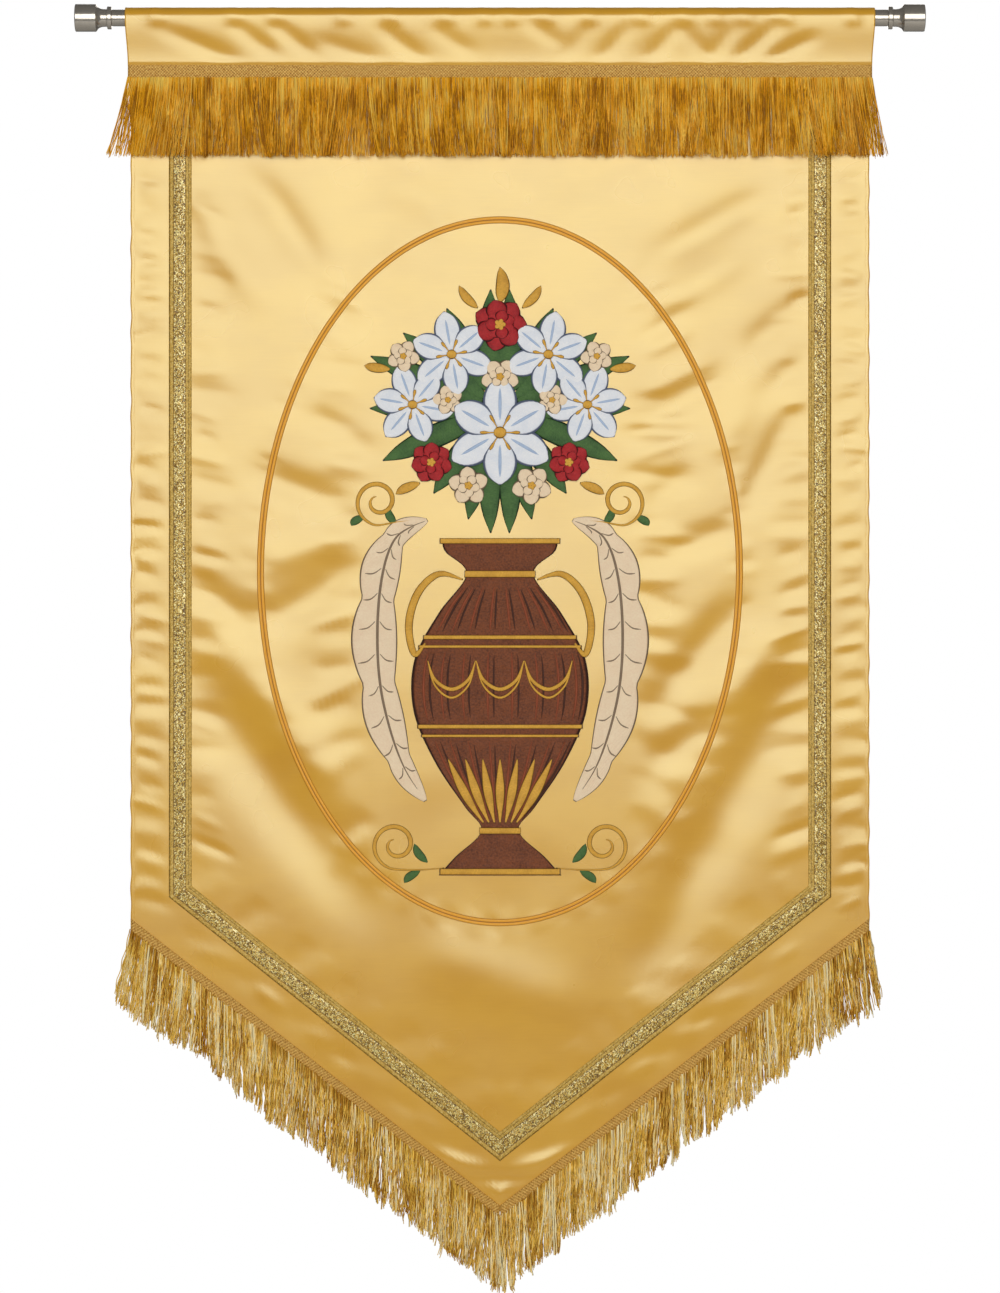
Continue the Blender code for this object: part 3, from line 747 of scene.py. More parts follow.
def sleeve_rows():
    """The sleeve's middle layer from the flap's foot over the rod to the seam, with out vectors."""
    dip = math.asin(SLEEVE_RADIUS / SEAM_TOP)
    angles = np.linspace(-dip, math.pi, ARC_ROWS + 1)
    arc = np.stack([np.cos(angles), np.sin(angles)], axis=-1)
    back_foot = np.array([FLAP_DISTANCE, -SEAM_TOP])
    flap = np.linspace([FLAP_DISTANCE, -SEAM_FOOT], back_foot, FLAP_ROWS, endpoint=False)
    back = np.linspace(back_foot, arc[0] * SLEEVE_RADIUS, BACK_ROWS, endpoint=False)
    share = np.linspace(0.0, 1.0, FRONT_ROWS + 1)[1:]
    slack = (share + ease(share, 0.0, 1.0)) / 2
    front = np.stack([-SLEEVE_RADIUS + (SLEEVE_RADIUS - SEAM_OVERHANG) * slack, -SEAM_TOP * share], axis=-1)
    places = np.concatenate([flap, back, arc * SLEEVE_RADIUS, front])
    out = np.concatenate([
        np.tile([1.0, 0.0], (FLAP_ROWS, 1)),
        np.tile(arc[0], (BACK_ROWS, 1)),
        arc,
        np.tile(arc[-1], (FRONT_ROWS, 1)),
    ])
    climb = np.concatenate([
        np.full(FLAP_ROWS + BACK_ROWS, 2.0),
        1.0 + np.linspace(1.0, 0.0, ARC_ROWS + 1),
        np.linspace(1.0, 0.0, FRONT_ROWS + 1)[1:],
    ])
    return places, out, climb


def sleeve_grid(columns):
    places, out, climb = sleeve_rows()
    shares, amounts = zip(*FOLD_SHARES)
    shown = np.interp(climb, shares, amounts)[:, None]
    spread = ease(places[:, 1], -SEAM_TOP, 0.0)[:, None]
    half_width = SEAM_HALF_WIDTH + (SLEEVE_HALF_WIDTH - SEAM_HALF_WIDTH) * spread
    x = columns[None, :] * half_width / HALF_WIDTH
    depth = np.broadcast_to(-places[:, 1:2], x.shape)
    raised = shown * (fold_sum(RIDGES, x, depth) + SLEEVE_FOLD_SHARE * fold_sum(SLEEVE_FOLDS, x, depth))
    raised = np.maximum(raised, -SLEEVE_SLACK * ease(np.abs(climb - 1.0), 0.0, 0.3)[:, None])
    y = places[:, 0:1] + out[:, 0:1] * raised
    z = places[:, 1:2] + out[:, 1:2] * raised
    return np.stack(np.broadcast_arrays(x, y, z), axis=-1)


def panel_grid(columns):
    """The panel's rows turn from level at the seam to the V's slope at the hem."""
    share = np.linspace(0.0, 1.0, PANEL_ROWS + 1)[1:, None]
    depth = SEAM_TOP + (SIDE_DEPTH - SEAM_TOP) * share + share * drop(columns)[None, :]
    narrowing = 1 - ease(depth, SEAM_TOP, 0.118)
    x = columns[None, :] * (1 + (SEAM_HALF_WIDTH / HALF_WIDTH - 1) * narrowing)
    y = -relief(x, depth) - np.broadcast_to(hem_relief(columns)[None, :], x.shape) * ease(depth, 0.1, 0.13)
    wave = np.sin(depth * 210) + np.sin(depth * 137 + 1.3 * np.sign(x))
    at_edge = (np.abs(columns)[None, :] / HALF_WIDTH) ** 12
    x = x + EDGE_WAVE / 2 * wave * at_edge * np.sign(x) * ease(depth, 0.12, 0.2)
    return np.stack(np.broadcast_arrays(x, y, -depth), axis=-1)


def make_cloth(material):
    columns = cloth_columns()
    grid = np.concatenate([sleeve_grid(columns), panel_grid(columns)])
    rows = len(grid)
    mesh = bpy.data.meshes.new("satin_banner")
    faces = grid_faces(rows, len(columns))
    mesh.from_pydata(grid.reshape(-1, 3).tolist(), [], faces.tolist())
    made = add_piece("satin_banner", mesh, material)
    wall = made.modifiers.new("cloth thickness", "SOLIDIFY")
    wall.thickness = SHEET
    wall.offset = 0.0
    print("satin_banner has", 4 * len(faces), "triangles in two layers,", rows, "rows")
    return made


cloth = make_cloth(satin)

# %% [markdown]
# ## Strips that follow the cloth
# Braid, fringe headings and the oval's cord are all long strips. Each is written once as two
# edges and a cross-section: the edges say where the strip runs, and the cross-section says how
# its ribs rise between them. Its map counts metres along and across, so that a pattern keeps
# its scale round every corner.


# %% Strips
def lengths_along(x, depth):
    """How far each point of a line is along it."""
    steps = np.hypot(np.diff(x), np.diff(depth))
    return np.concatenate([[0.0], np.cumsum(steps)])


def add_strip(layers, first, second, profile, base=0.0, tone=0.0, wrap=False):
    """A strip between two (x, depth) edges, with a profile of (share across, height) pairs."""
    shares = np.array([share for share, _ in profile])[None, :]
    heights = np.array([height for _, height in profile])[None, :]
    x = first[0][:, None] * (1 - shares) + second[0][:, None] * shares
    depth = first[1][:, None] * (1 - shares) + second[1][:, None] * shares
    along = lengths_along((first[0] + second[0]) / 2, (first[1] + second[1]) / 2)
    width = np.hypot(first[0][0] - second[0][0], first[1][0] - second[1][0])
    u = np.broadcast_to(along[:, None], x.shape)
    v = np.broadcast_to(shares * width, x.shape)
    layers.add(x, depth, np.broadcast_to(heights, x.shape), u, v, base, tone, wrap)


sample_line = lengths_along(np.array([0.0, 0.3, 0.3]), np.array([0.0, 0.0, 0.4]))
print("a line of 0.3 m and 0.4 m is", round(float(sample_line[-1]), 3), "m long")

# %% [markdown]
# ## Metallic braid
# Galloon is a narrow woven braid with metal-wrapped yarn in it. From its outer edge inwards it
# has a ribbed dark edge, a bright cord, a band of tiny scrolls and a flat ribbed border. The
# ribs are real relief, and so are the scrolls, which Geometry Nodes repeat along the band. The
# glitter comes from a bump of many small facets under a metallic finish, and in the band of
# scrolls it is also painted into the colour as bright and dark specks, a painted glitter.

# %% The braid's finish
GALLOON_DARK = (0.150, 0.075, 0.006)
GALLOON_MIDDLE = (0.760, 0.450, 0.050)
GALLOON_BRIGHT = (1.000, 0.880, 0.400)
BRAID_CORD = 0.0058
BRAID_SCROLLS = 0.0176
# Dark lines between the braid's bands: where each one is, and half its width.
BRAID_LINES = ((0.0007, 0.0007), (0.0052, 0.0006), (0.0180, 0.0004), (0.0214, 0.0003))


def make_galloon():
    made, net, shader = new_finish("metallic galloon", Metallic=0.1, IOR=1.6)
    place, along, across = net.uv()
    glitter = net.add("ShaderNodeTexVoronoi", output="Color", Vector=place, Scale=1100.0)
    facet = net.add("ShaderNodeSeparateXYZ", Vector=glitter)
    cloud = net.noise(place, 330.0, 3.0)
    ribs = (along * 5200.0).sine() * 0.5 + 0.5
    lines = (across * 5600.0).sine() * 0.5 + 0.5
    in_scrolls = net.smooth(across, BRAID_CORD - 0.0004, BRAID_CORD) * net.smooth(
        across, BRAID_SCROLLS + 0.0004, BRAID_SCROLLS
    )
    # In the band of scrolls the colour is a painted glitter: bright and dark facet specks stand in for the glints of
    # the metal yarn.
    painted_glitter = facet * 1.25 + cloud * 1.20 - 0.86
    woven = facet * 0.30 + ribs * 0.25 + lines * 0.15 + cloud * 0.45 - 0.14
    tone = woven + in_scrolls * (painted_glitter - woven)
    for place_across, half_width in BRAID_LINES:
        tone = tone - net.line(across, place_across, half_width) * 0.24
    colour = net.ramp(tone, (0.10, GALLOON_DARK), (0.46, GALLOON_MIDDLE), (0.85, GALLOON_BRIGHT))
    height = facet * (0.35 + in_scrolls * 0.65) + ribs * (1 - in_scrolls) * 0.7
    paint(net, shader, Base_Color=colour, Roughness=0.52 - tone * 0.25, Normal=net.bump(height, 0.0004, 0.8))
    return made


galloon = make_galloon()
print("finish:", galloon.name)

# %% The braid
BRAID_TOP = 0.118
BRAID_STEP = 0.004
BRAID_PROFILE = (
    (0.000, 0.00045),
    (0.040, 0.00085),
    (0.075, 0.00130),
    (0.130, 0.00145),
    (0.180, 0.00115),
    (0.215, 0.00065),
    (0.260, 0.00100),
    (0.450, 0.00110),
    (0.670, 0.00100),
    (0.730, 0.00060),
    (0.775, 0.00105),
    (0.850, 0.00090),
    (0.875, 0.00065),
    (0.910, 0.00095),
    (1.000, 0.00040),
)


def braid_edge(share, samples):
    """The braid's line at one share of its width: down a side, along the V and up again."""
    out_x = BRAID_OUTER - share * BRAID_WIDTH
    rise = share * BRAID_WIDTH * math.hypot(1, V_SLOPE * BRAID_V_TILT)
    corner = BRAID_V_DEPTH - rise + BRAID_V_TILT * float(drop(out_x))
    point = BRAID_V_DEPTH - rise + BRAID_V_TILT * float(drop(0.0))
    side, slope = samples
    down = np.linspace(BRAID_TOP, corner, side, endpoint=False)
    inward = np.linspace(out_x, 0.0, slope, endpoint=False)
    sloping = np.linspace(corner, point, slope, endpoint=False)
    x = np.concatenate([np.full(side, -out_x), -inward, [0.0]])
    depth = np.concatenate([down, sloping, [point]])
    return np.concatenate([x, -x[-2::-1]]), np.concatenate([depth, depth[-2::-1]])


def make_braid(material):
    side = round((BRAID_V_DEPTH - BRAID_TOP) / BRAID_STEP)
    slope = round(math.hypot(BRAID_OUTER, V_SLOPE * BRAID_OUTER) / BRAID_STEP)
    samples = (side, slope)
    layers = Layers()
    add_strip(layers, braid_edge(0.0, samples), braid_edge(1.0, samples), BRAID_PROFILE)
    return layers.piece("galloon_braid_woven", material)


braid = make_braid(galloon)

# %% [markdown]
# ## Geometry Nodes that repeat a motif along a line
# A scroll, a stitch or a bead is made once, and a tree sets copies of it along a line that lies
# on the cloth. The motif's X axis follows the line and its Z axis points forwards. Every second
# copy may be turned half round, which makes scrolls lean to both sides of the band.


# %% A tree for stitches and scrolls
class Grower(Net):
    """A Geometry Nodes tree with named inputs."""

    KINDS = {
        "Line": "Geometry",
        "Motif": "Object",
        "Finish": "Material",
        "Count": "Int",
        "Seed": "Int",
        "Steps": "Int",
    }

    def __init__(self, name, inputs):
        super().__init__(bpy.data.node_groups.new(name, "GeometryNodeTree"))
        for label in inputs:
            kind = "NodeSocket" + self.KINDS.get(label, "Float")
            self.tree.interface.new_socket(label, in_out="INPUT", socket_type=kind)
        self.tree.interface.new_socket("Result", in_out="OUTPUT", socket_type="NodeSocketGeometry")
        self.entry = self.tree.nodes.new("NodeGroupInput")

    def given(self, label):
        return Wire(self, self.entry.outputs[label])

    def end(self, geometry):
        """Realizes the instances, sets the finish and joins the result to the tree's output."""
        real = self.add("GeometryNodeRealizeInstances", Geometry=geometry)
        done = self.add("GeometryNodeSetMaterial", Geometry=real, Material=self.given("Finish"))
        leave = self.tree.nodes.new("NodeGroupOutput")
        self.tree.links.new(done.socket, leave.inputs["Result"])
        return self.tree


def line_piece(name, points):
    """An open line of points as a mesh, for a tree to grow on."""
    mesh = bpy.data.meshes.new(name)
    edges = [(k, k + 1) for k in range(len(points) - 1)]
    mesh.from_pydata([tuple(point) for point in points], edges, [])
    made = bpy.data.objects.new(name, mesh)
    bpy.context.scene.collection.objects.link(made)
    return made


def grow(name, points, tree, **values):
    """Runs a tree on a line and keeps what it makes as a plain mesh."""
    host = line_piece(name, points)
    modifier = host.modifiers.new(tree.name, "NODES")
    modifier.node_group = tree
    for item in tree.interface.items_tree:
        if item.name in values:
            modifier[item.identifier] = values[item.name]
    graph = bpy.context.evaluated_depsgraph_get()
    mesh = bpy.data.meshes.new_from_object(host.evaluated_get(graph), depsgraph=graph)
    host.modifiers.clear()
    host.data = mesh
    mesh.name = name
    triangles = sum(len(face.vertices) - 2 for face in mesh.polygons)
    print(name, "has", triangles, "triangles")
    return host


def repeating_tree():
    """Copies of a motif along a line, every second one turned half round."""
    net = Grower("motif along a line", ("Line", "Motif", "Finish", "Pitch", "Turn"))
    curve = net.add("GeometryNodeMeshToCurve", Mesh=net.given("Line"))
    spots = net.add("GeometryNodeCurveToPoints", {"mode": "LENGTH"}, Curve=curve, Length=net.given("Pitch"))
    tangent = spots.also("Tangent")
    facing = net.add("FunctionNodeAxesToRotation", values=((0.0, -1.0, 0.0), tangent))
    odd = net.add("ShaderNodeMath", {"operation": "MODULO"}, (net.add("GeometryNodeInputIndex"), 2.0))
    turned = net.add("FunctionNodeAxisAngleToRotation", Axis=(0.0, 0.0, 1.0), Angle=odd * net.given("Turn"))
    rotation = net.add("FunctionNodeRotateRotation", {"rotation_space": "LOCAL"}, (facing, turned))
    motif = net.add("GeometryNodeObjectInfo", output="Geometry", Object=net.given("Motif"))
    copies = net.add("GeometryNodeInstanceOnPoints", Points=spots, Instance=motif, Rotation=rotation)
    return net.end(copies)


REPEAT = repeating_tree()
print("tree:", REPEAT.name)

# %% The braid's scrolls
SCROLL_PITCH = 0.0088
SCROLL_TURNS = 1.45
SCROLL_RADII = (0.0009, 0.0051)
SCROLL_WIRE = 0.00062
SCROLL_STEPS = 12
SCROLL_SIDES = 4
SCROLL_LIFT = 0.0011


def tube(points, radius, sides):
    """A closed tube along a flat line, as points and faces."""
    points = np.array(points)
    ahead = np.gradient(points, axis=0)
    ahead /= np.linalg.norm(ahead, axis=1)[:, None]
    up = np.tile([0.0, 0.0, 1.0], (len(points), 1))
    across = np.cross(ahead, up)
    turns = np.linspace(0.0, 2 * math.pi, sides, endpoint=False)
    rings = [points + radius * (math.cos(t) * across + math.sin(t) * up) for t in turns]
    grid = np.stack(rings, axis=1)
    faces = []
    for row in range(len(points) - 1):
        for side in range(sides):
            after = (side + 1) % sides
            first = row * sides
            second = first + sides
            faces.append((first + side, first + after, second + after, second + side))
    faces.append(tuple(range(sides)))
    faces.append(tuple(range((len(points) - 1) * sides, len(points) * sides)))
    return grid.reshape(-1, 3).tolist(), faces


def motif_object(name, points, faces):
    """A motif for a tree to repeat. It is taken away again once it has been used."""
    mesh = bpy.data.meshes.new(name)
    mesh.from_pydata(points, [], faces)
    shape = bmesh.new()
    shape.from_mesh(mesh)
    bmesh.ops.recalc_face_normals(shape, faces=shape.faces)
    shape.to_mesh(mesh)
    shape.free()
    mesh.shade_smooth()
    made = bpy.data.objects.new(name, mesh)
    bpy.context.scene.collection.objects.link(made)
    return made


def scroll_motif():
    turn = np.linspace(0.0, 2 * math.pi * SCROLL_TURNS, SCROLL_STEPS)
    radius = np.linspace(*SCROLL_RADII, SCROLL_STEPS)
    line = np.stack([radius * np.cos(turn), radius * np.sin(turn), np.zeros(SCROLL_STEPS)], axis=-1)
    return motif_object("scroll", *tube(line, SCROLL_WIRE, SCROLL_SIDES))


def make_scrolls(material):
    middle = (BRAID_CORD + BRAID_SCROLLS) / 2 / BRAID_WIDTH
    x, depth = braid_edge(middle, (round(0.8 / BRAID_STEP), round(0.45 / BRAID_STEP)))
    motif = scroll_motif()
    line = on_front(x, depth, SCROLL_LIFT)
    made = grow("galloon_scrolls", line, REPEAT, Motif=motif, Finish=material, Pitch=SCROLL_PITCH, Turn=math.pi)
    bpy.data.objects.remove(motif)
    return made


def make_wire_finish():
    made, net, shader = new_finish("metal-wrapped yarn", Metallic=0.40, Roughness=0.34)
    place = net.object_place()
    wrap = net.noise(place, 1500.0, 1.0)
    patch = net.noise(place, 160.0, 2.0)
    colour = net.ramp(
        wrap * 0.5 + patch * 0.5,
        (0.38, (0.20, 0.100, 0.010)),
        (0.50, (0.74, 0.470, 0.060)),
        (0.60, (1.00, 0.880, 0.380)),
    )
    paint(net, shader, Base_Color=colour, Normal=net.bump(wrap, 0.0003, 0.7))
    return made


scrolls = make_scrolls(make_wire_finish())

# %% [markdown]
# ## The oval
# The oval is a double line of satin stitch in orange gold. Two rounded cords lie side by side
# with a dark line between them, which is painted shade in their groove, and their outer rims
# are painted darker as shade too. Every stitch crosses them at a slant. One closed strip with
# two humps makes it, and the slanting stitches are a fine bump along its map.

# %% The oval's cord
OVAL_CORD_WIDTH = 0.0075
OVAL_STEPS = 420
CORD_HUMP = 0.0016
CORD_VALLEY = 0.0005
OVAL_PROFILE_STEPS = 12


def make_cord_finish():
    made, net, shader = new_finish("orange gold satin stitch", IOR=1.6, Sheen_Weight=0.05, Coat_Weight=0.15)
    place, along, across = net.uv()
    stitch = ((along + across * 0.8) * 9000.0).sine() * 0.5 + 0.5
    uneven = net.noise(place, 700.0, 2.0)
    middle = (across - OVAL_CORD_WIDTH / 2).size()
    # The groove between the two cords and the strip's outer rims are darkened in the colour: painted shade where the
    # cord dips and curves away.
    groove = net.smooth(middle, 0.0007, 0.0001)
    shaded_rim = net.smooth(middle, OVAL_CORD_WIDTH / 2 - 0.0009, OVAL_CORD_WIDTH / 2)
    shade = groove * 0.9 + shaded_rim * 0.7 + stitch * 0.12 + uneven * 0.25 - 0.12
    colour = net.ramp(shade, (0.0, (0.94, 0.44, 0.016)), (0.4, (0.72, 0.28, 0.010)), (1.0, (0.24, 0.08, 0.006)))
    paint(net, shader, Base_Color=colour, Roughness=0.40 + groove * 0.2, Normal=net.bump(stitch + uneven, 0.0002, 0.5))
    return made


def oval_edge(inset):
    angle = np.linspace(0.0, 2 * math.pi, OVAL_STEPS, endpoint=False)
    x = (OVAL_HALF_WIDTH - inset) * np.cos(angle)
    return x, OVAL_DEPTH + (OVAL_HALF_HEIGHT - inset) * np.sin(angle)


def make_oval(material):
    profile = []
    for step in range(OVAL_PROFILE_STEPS + 1):
        share = step / OVAL_PROFILE_STEPS
        hump = abs(math.sin(2 * math.pi * share)) ** 0.6
        profile.append((share, CORD_VALLEY + (CORD_HUMP - CORD_VALLEY) * hump))
    layers = Layers()
    add_strip(layers, oval_edge(0.0), oval_edge(OVAL_CORD_WIDTH), tuple(profile), wrap=True)
    return layers.piece("oval_satin_cord", material)


oval = make_oval(make_cord_finish())

# %% [markdown]
# ## Fringe headings
# A fringe is woven onto a narrow band, its heading, which is what gets sewn to the cloth. The
# bands here are basket-woven: small blocks of thread go over and under. A checked pattern on
# the strip's map gives both the colour and the bump of that weave.

# %% The headings
HEADING_SQUARE = 0.0016
HEADING_PROFILE = (
    (0.00, 0.0009),
    (0.05, 0.0020),
    (0.14, 0.0021),
    (0.20, 0.0014),
    (0.35, 0.0018),
    (0.50, 0.0017),
    (0.65, 0.0018),
    (0.80, 0.0014),
    (0.88, 0.0021),
    (0.95, 0.0020),
    (1.00, 0.0009),
)
FOOT_HEADING_HEIGHT = 0.013
HEADING_STEPS = 120
EDGE_LAP = 0.0004


def make_heading_finish():
    made, net, shader = new_finish("woven heading", IOR=1.45)
    place, along, across = net.uv()
    columns = (along * (math.pi / HEADING_SQUARE)).sine()
    rows = (across * (math.pi / HEADING_SQUARE)).sine()
    basket = columns * rows * 0.5 + 0.5
    uneven = net.noise(place, 420.0, 3.0)
    shade = basket * 0.50 + uneven * 1.0 - 0.26
    colour = net.ramp(
        shade,
        (0.10, (0.24, 0.090, 0.009)),
        (0.45, (0.60, 0.300, 0.042)),
        (0.85, (0.95, 0.640, 0.180)),
    )
    paint(net, shader, Base_Color=colour, Roughness=0.58 - basket * 0.1, Normal=net.bump(basket + uneven * 0.6, 0.0006, 0.8))
    return made


heading_finish = make_heading_finish()


def make_top_heading():
    x = np.linspace(-SEAM_HALF_WIDTH, SEAM_HALF_WIDTH, HEADING_STEPS * 2)
    layers = Layers()
    add_strip(layers, (x, np.full_like(x, SEAM_TOP)), (x, np.full_like(x, SEAM_FOOT)), HEADING_PROFILE)
    return layers.piece("top_fringe_heading", heading_finish)


def make_foot_heading(name, side):
    x = side * np.linspace(HALF_WIDTH, GAP, HEADING_STEPS)
    middle = hem_depth(x)
    half = FOOT_HEADING_HEIGHT / 2
    layers = Layers()
    add_strip(layers, (x, middle - half), (x, middle + half), HEADING_PROFILE)
    return layers.piece(name, heading_finish)


top_heading = make_top_heading()
foot_headings = {
    "left": make_foot_heading("foot_fringe_heading_left", -1),
    "right": make_foot_heading("foot_fringe_heading_right", 1),
}

# %% [markdown]
# ## Fringe threads
# The threads hang from the heading in thousands. They aren't even: neighbours gather into
# bunches that lean and curl together, and gaps open between the bunches towards their ends. One
# Geometry Nodes tree grows all three fringes. It scatters roots along a line, hangs a thread
# from each, draws each thread towards the middle of its bunch, and winds it in a slight helix,
# so that threads of one bunch look twisted together.

# %% A tree for fringe threads
FRINGE_INPUTS = (
    "Line", "Finish", "Count", "Seed", "Length", "Uneven", "Thickness", "Layer Depth", "Forward",
    "Bunch Width", "Gather", "Bunch Lean", "Bunch Uneven", "Curl", "Curl Turns", "Splay",
    "Half Width", "Steps", "Waver", "Stout",
)
STOUT_TONES = (0.89, 0.93)
THREAD_SIDES = 3
# Threads of different families gather and lean apart, so their bunches cross.
FAMILIES = 3
FAMILY_SHIFT = 0.37
SWAY_SCALE = 26.0


def fringe_tree():
    net = Grower("fringe threads", FRINGE_INPUTS)
    given = net.given

    def chance(low, high, seed):
        inputs = {"Min": low, "Max": high, "Seed": given("Seed") + seed}
        return net.add("FunctionNodeRandomValue", {"data_type": "FLOAT"}, **inputs)

    def keep(geometry, name, value):
        settings = {"data_type": "FLOAT", "domain": "POINT"}
        inputs = {"Geometry": geometry, "Name": name, "Value": value}
        return net.add("GeometryNodeStoreNamedAttribute", settings, **inputs)

    def kept(name):
        return net.add("GeometryNodeInputNamedAttribute", {"data_type": "FLOAT"}, Name=name)

    def white(value):
        return net.add("ShaderNodeTexWhiteNoise", {"noise_dimensions": "1D"}, W=value)

    curve = net.add("GeometryNodeMeshToCurve", Mesh=given("Line"))
    spots = net.add("GeometryNodeCurveToPoints", {"mode": "COUNT"}, Curve=curve, Count=given("Count"))
    root = net.add("ShaderNodeSeparateXYZ", Vector=net.add("GeometryNodeInputPosition"))
    spots = keep(spots, "root", root)
    spots = keep(spots, "tone", chance(0.0, 1.0, 1))
    spots = keep(spots, "phase", chance(0.0, 2 * math.pi, 2))
    spots = keep(spots, "family", (kept("phase") * (FAMILIES / (2 * math.pi))).floor())
    spots = keep(spots, "bunch", (root / given("Bunch Width") + kept("family") * FAMILY_SHIFT).floor())
    spots = keep(spots, "loose", chance(0.35, 1.15, 8))
    spread = net.add(
        "ShaderNodeCombineXYZ",
        X=chance(-1.0, 1.0, 3) * given("Thickness") * 2,
        Y=given("Forward") * -1 + chance(-1.0, 1.0, 4) * given("Layer Depth"),
        Z=chance(-1.0, 1.0, 5) * given("Thickness") * 2,
    )
    spots = net.add("GeometryNodeSetPosition", Geometry=spots, Offset=spread)

    thread = net.add("GeometryNodeCurvePrimitiveLine", Start=(0.0, 0.0, 0.0), End=(0.0, 0.0, -1.0))
    thread = net.add("GeometryNodeResampleCurve", Curve=thread, Count=given("Steps"))
    uneven = 1 + chance(-1.0, 1.0, 6) * given("Uneven")
    uneven = uneven + (white(kept("bunch") + 31.0) - 0.5) * given("Bunch Uneven")
    size = net.add("ShaderNodeCombineXYZ", X=1.0, Y=1.0, Z=given("Length") * uneven)
    hung = net.add("GeometryNodeInstanceOnPoints", Points=spots, Instance=thread, Scale=size)
    hung = net.add("GeometryNodeRealizeInstances", Geometry=hung)

    down = net.add("GeometryNodeSplineParameter", output="Factor")
    hung = keep(hung, "down", down)
    down = kept("down")
    eased = down * down * (3 - 2 * down)
    middle = kept("bunch") + 0.5 + (white(kept("bunch") + 7.0) - 0.5) * 0.5
    middle = (middle - kept("family") * FAMILY_SHIFT) * given("Bunch Width")
    loose = kept("loose")
    gathered = (middle - kept("root")) * given("Gather") * eased * loose
    sway = net.add("ShaderNodeCombineXYZ", X=kept("root") * SWAY_SCALE, Y=kept("family") * 7.3, Z=given("Seed"))
    lean_x = (net.noise(sway, 1.0, 2.0) - 0.5) * given("Bunch Lean") * down * (down * 0.5 + 0.5)
    lean_y = white(kept("bunch") + 19.0) * given("Bunch Lean") * -0.15 * down
    turn = down * given("Curl Turns") * (2 * math.pi) + kept("phase")
    stout = net.smooth(kept("tone"), *STOUT_TONES) * given("Stout")
    curl = given("Curl") * net.smooth(down, 0.0, 0.25) * (1 - stout * 0.8) * loose
    side = kept("root") / given("Half Width")
    splay = side * (side * side).power(4.0) * given("Splay") * down
    place = net.add("ShaderNodeCombineXYZ", X=kept("root") * 90.0, Y=down * 2.2, Z=kept("tone") * 4.0)
    waver = (net.noise(place, 1.0, 2.0, "Color") - (0.5, 0.5, 0.5)) * (given("Waver") * down)
    moved = net.add(
        "ShaderNodeCombineXYZ",
        X=gathered + lean_x + splay + curl * turn.sine(),
        Y=lean_y + curl * (turn + math.pi / 2).sine(),
        Z=0.0,
    )
    hung = net.add("GeometryNodeSetPosition", Geometry=hung, Offset=moved + waver)
    ring = net.add("GeometryNodeCurvePrimitiveCircle", Resolution=THREAD_SIDES, Radius=1.0)
    thin = given("Thickness") * (1.0 - down * 0.15) * (stout + 1.0)
    threads = net.add("GeometryNodeCurveToMesh", Curve=hung, Profile_Curve=ring, Scale=thin, Fill_Caps=True)
    return net.end(net.add("GeometryNodeSetShadeSmooth", Geometry=threads))


FRINGE = fringe_tree()
print("tree:", FRINGE.name, "with", len(FRINGE_INPUTS), "inputs")

# %% Thread finishes
ThreadColours = namedtuple("ThreadColours", "dark middle light")
TOP_COLOURS = ThreadColours((0.420, 0.150, 0.003), (0.970, 0.450, 0.006), (1.000, 0.680, 0.120))
FOOT_COLOURS = ThreadColours((0.500, 0.220, 0.018), (1.000, 0.640, 0.100), (1.000, 0.860, 0.500))


def make_thread_finish(name, colours, painted_highlight_share, painted_root_shading):
    made, net, shader = new_finish(name, Roughness=0.40, Specular_Tint=(1.0, 0.75, 0.32, 1.0))
    tone = net.attribute("tone")
    down = net.attribute("down")
    place = net.object_place()
    cloud = net.noise(place * (1.0, 1.0, 0.35), 90.0, 3.0)
    lock = net.noise(place * (1.0, 1.0, 0.6), 26.0, 2.0)
    fleck = net.noise(place * (1.0, 1.0, 0.5), 700.0, 1.0)
    # The tone varies at random from thread to thread and in patches; its darkest end is partly painted shade in the
    # gaps between bunches.
    shade = tone * 0.60 + cloud * 1.10 + lock * 0.95 + fleck * 0.40 - 1.02
    # Near the heading the colour shifts: darker on the foot fringes, as painted shade under the heading, and lighter
    # on the top fringe.
    shade = shade + net.smooth(down, 0.22, 0.0) * painted_root_shading
    colour = net.ramp(shade, (0.18, colours.dark), (0.50, colours.middle), (0.90, colours.light))
    # Lengths of the palest-toned threads are mixed towards the light colour: painted highlights where strands would
    # catch the light.
    painted_highlight = net.smooth(tone, 1.0 - painted_highlight_share, 1.0 - painted_highlight_share * 0.5) * net.smooth(cloud, 0.40, 0.56)
    paint(net, shader, Base_Color=net.mix(painted_highlight * 0.8, colour, colours.light))
    paint(net, shader, Normal=net.bump(fleck, 0.0002, 0.5))
    return made


top_thread = make_thread_finish("silky fringe thread", TOP_COLOURS, 0.05, 0.18)
foot_thread = make_thread_finish("crinkled fringe thread", FOOT_COLOURS, 0.26, -0.14)
print("finishes:", top_thread.name, "and", foot_thread.name)

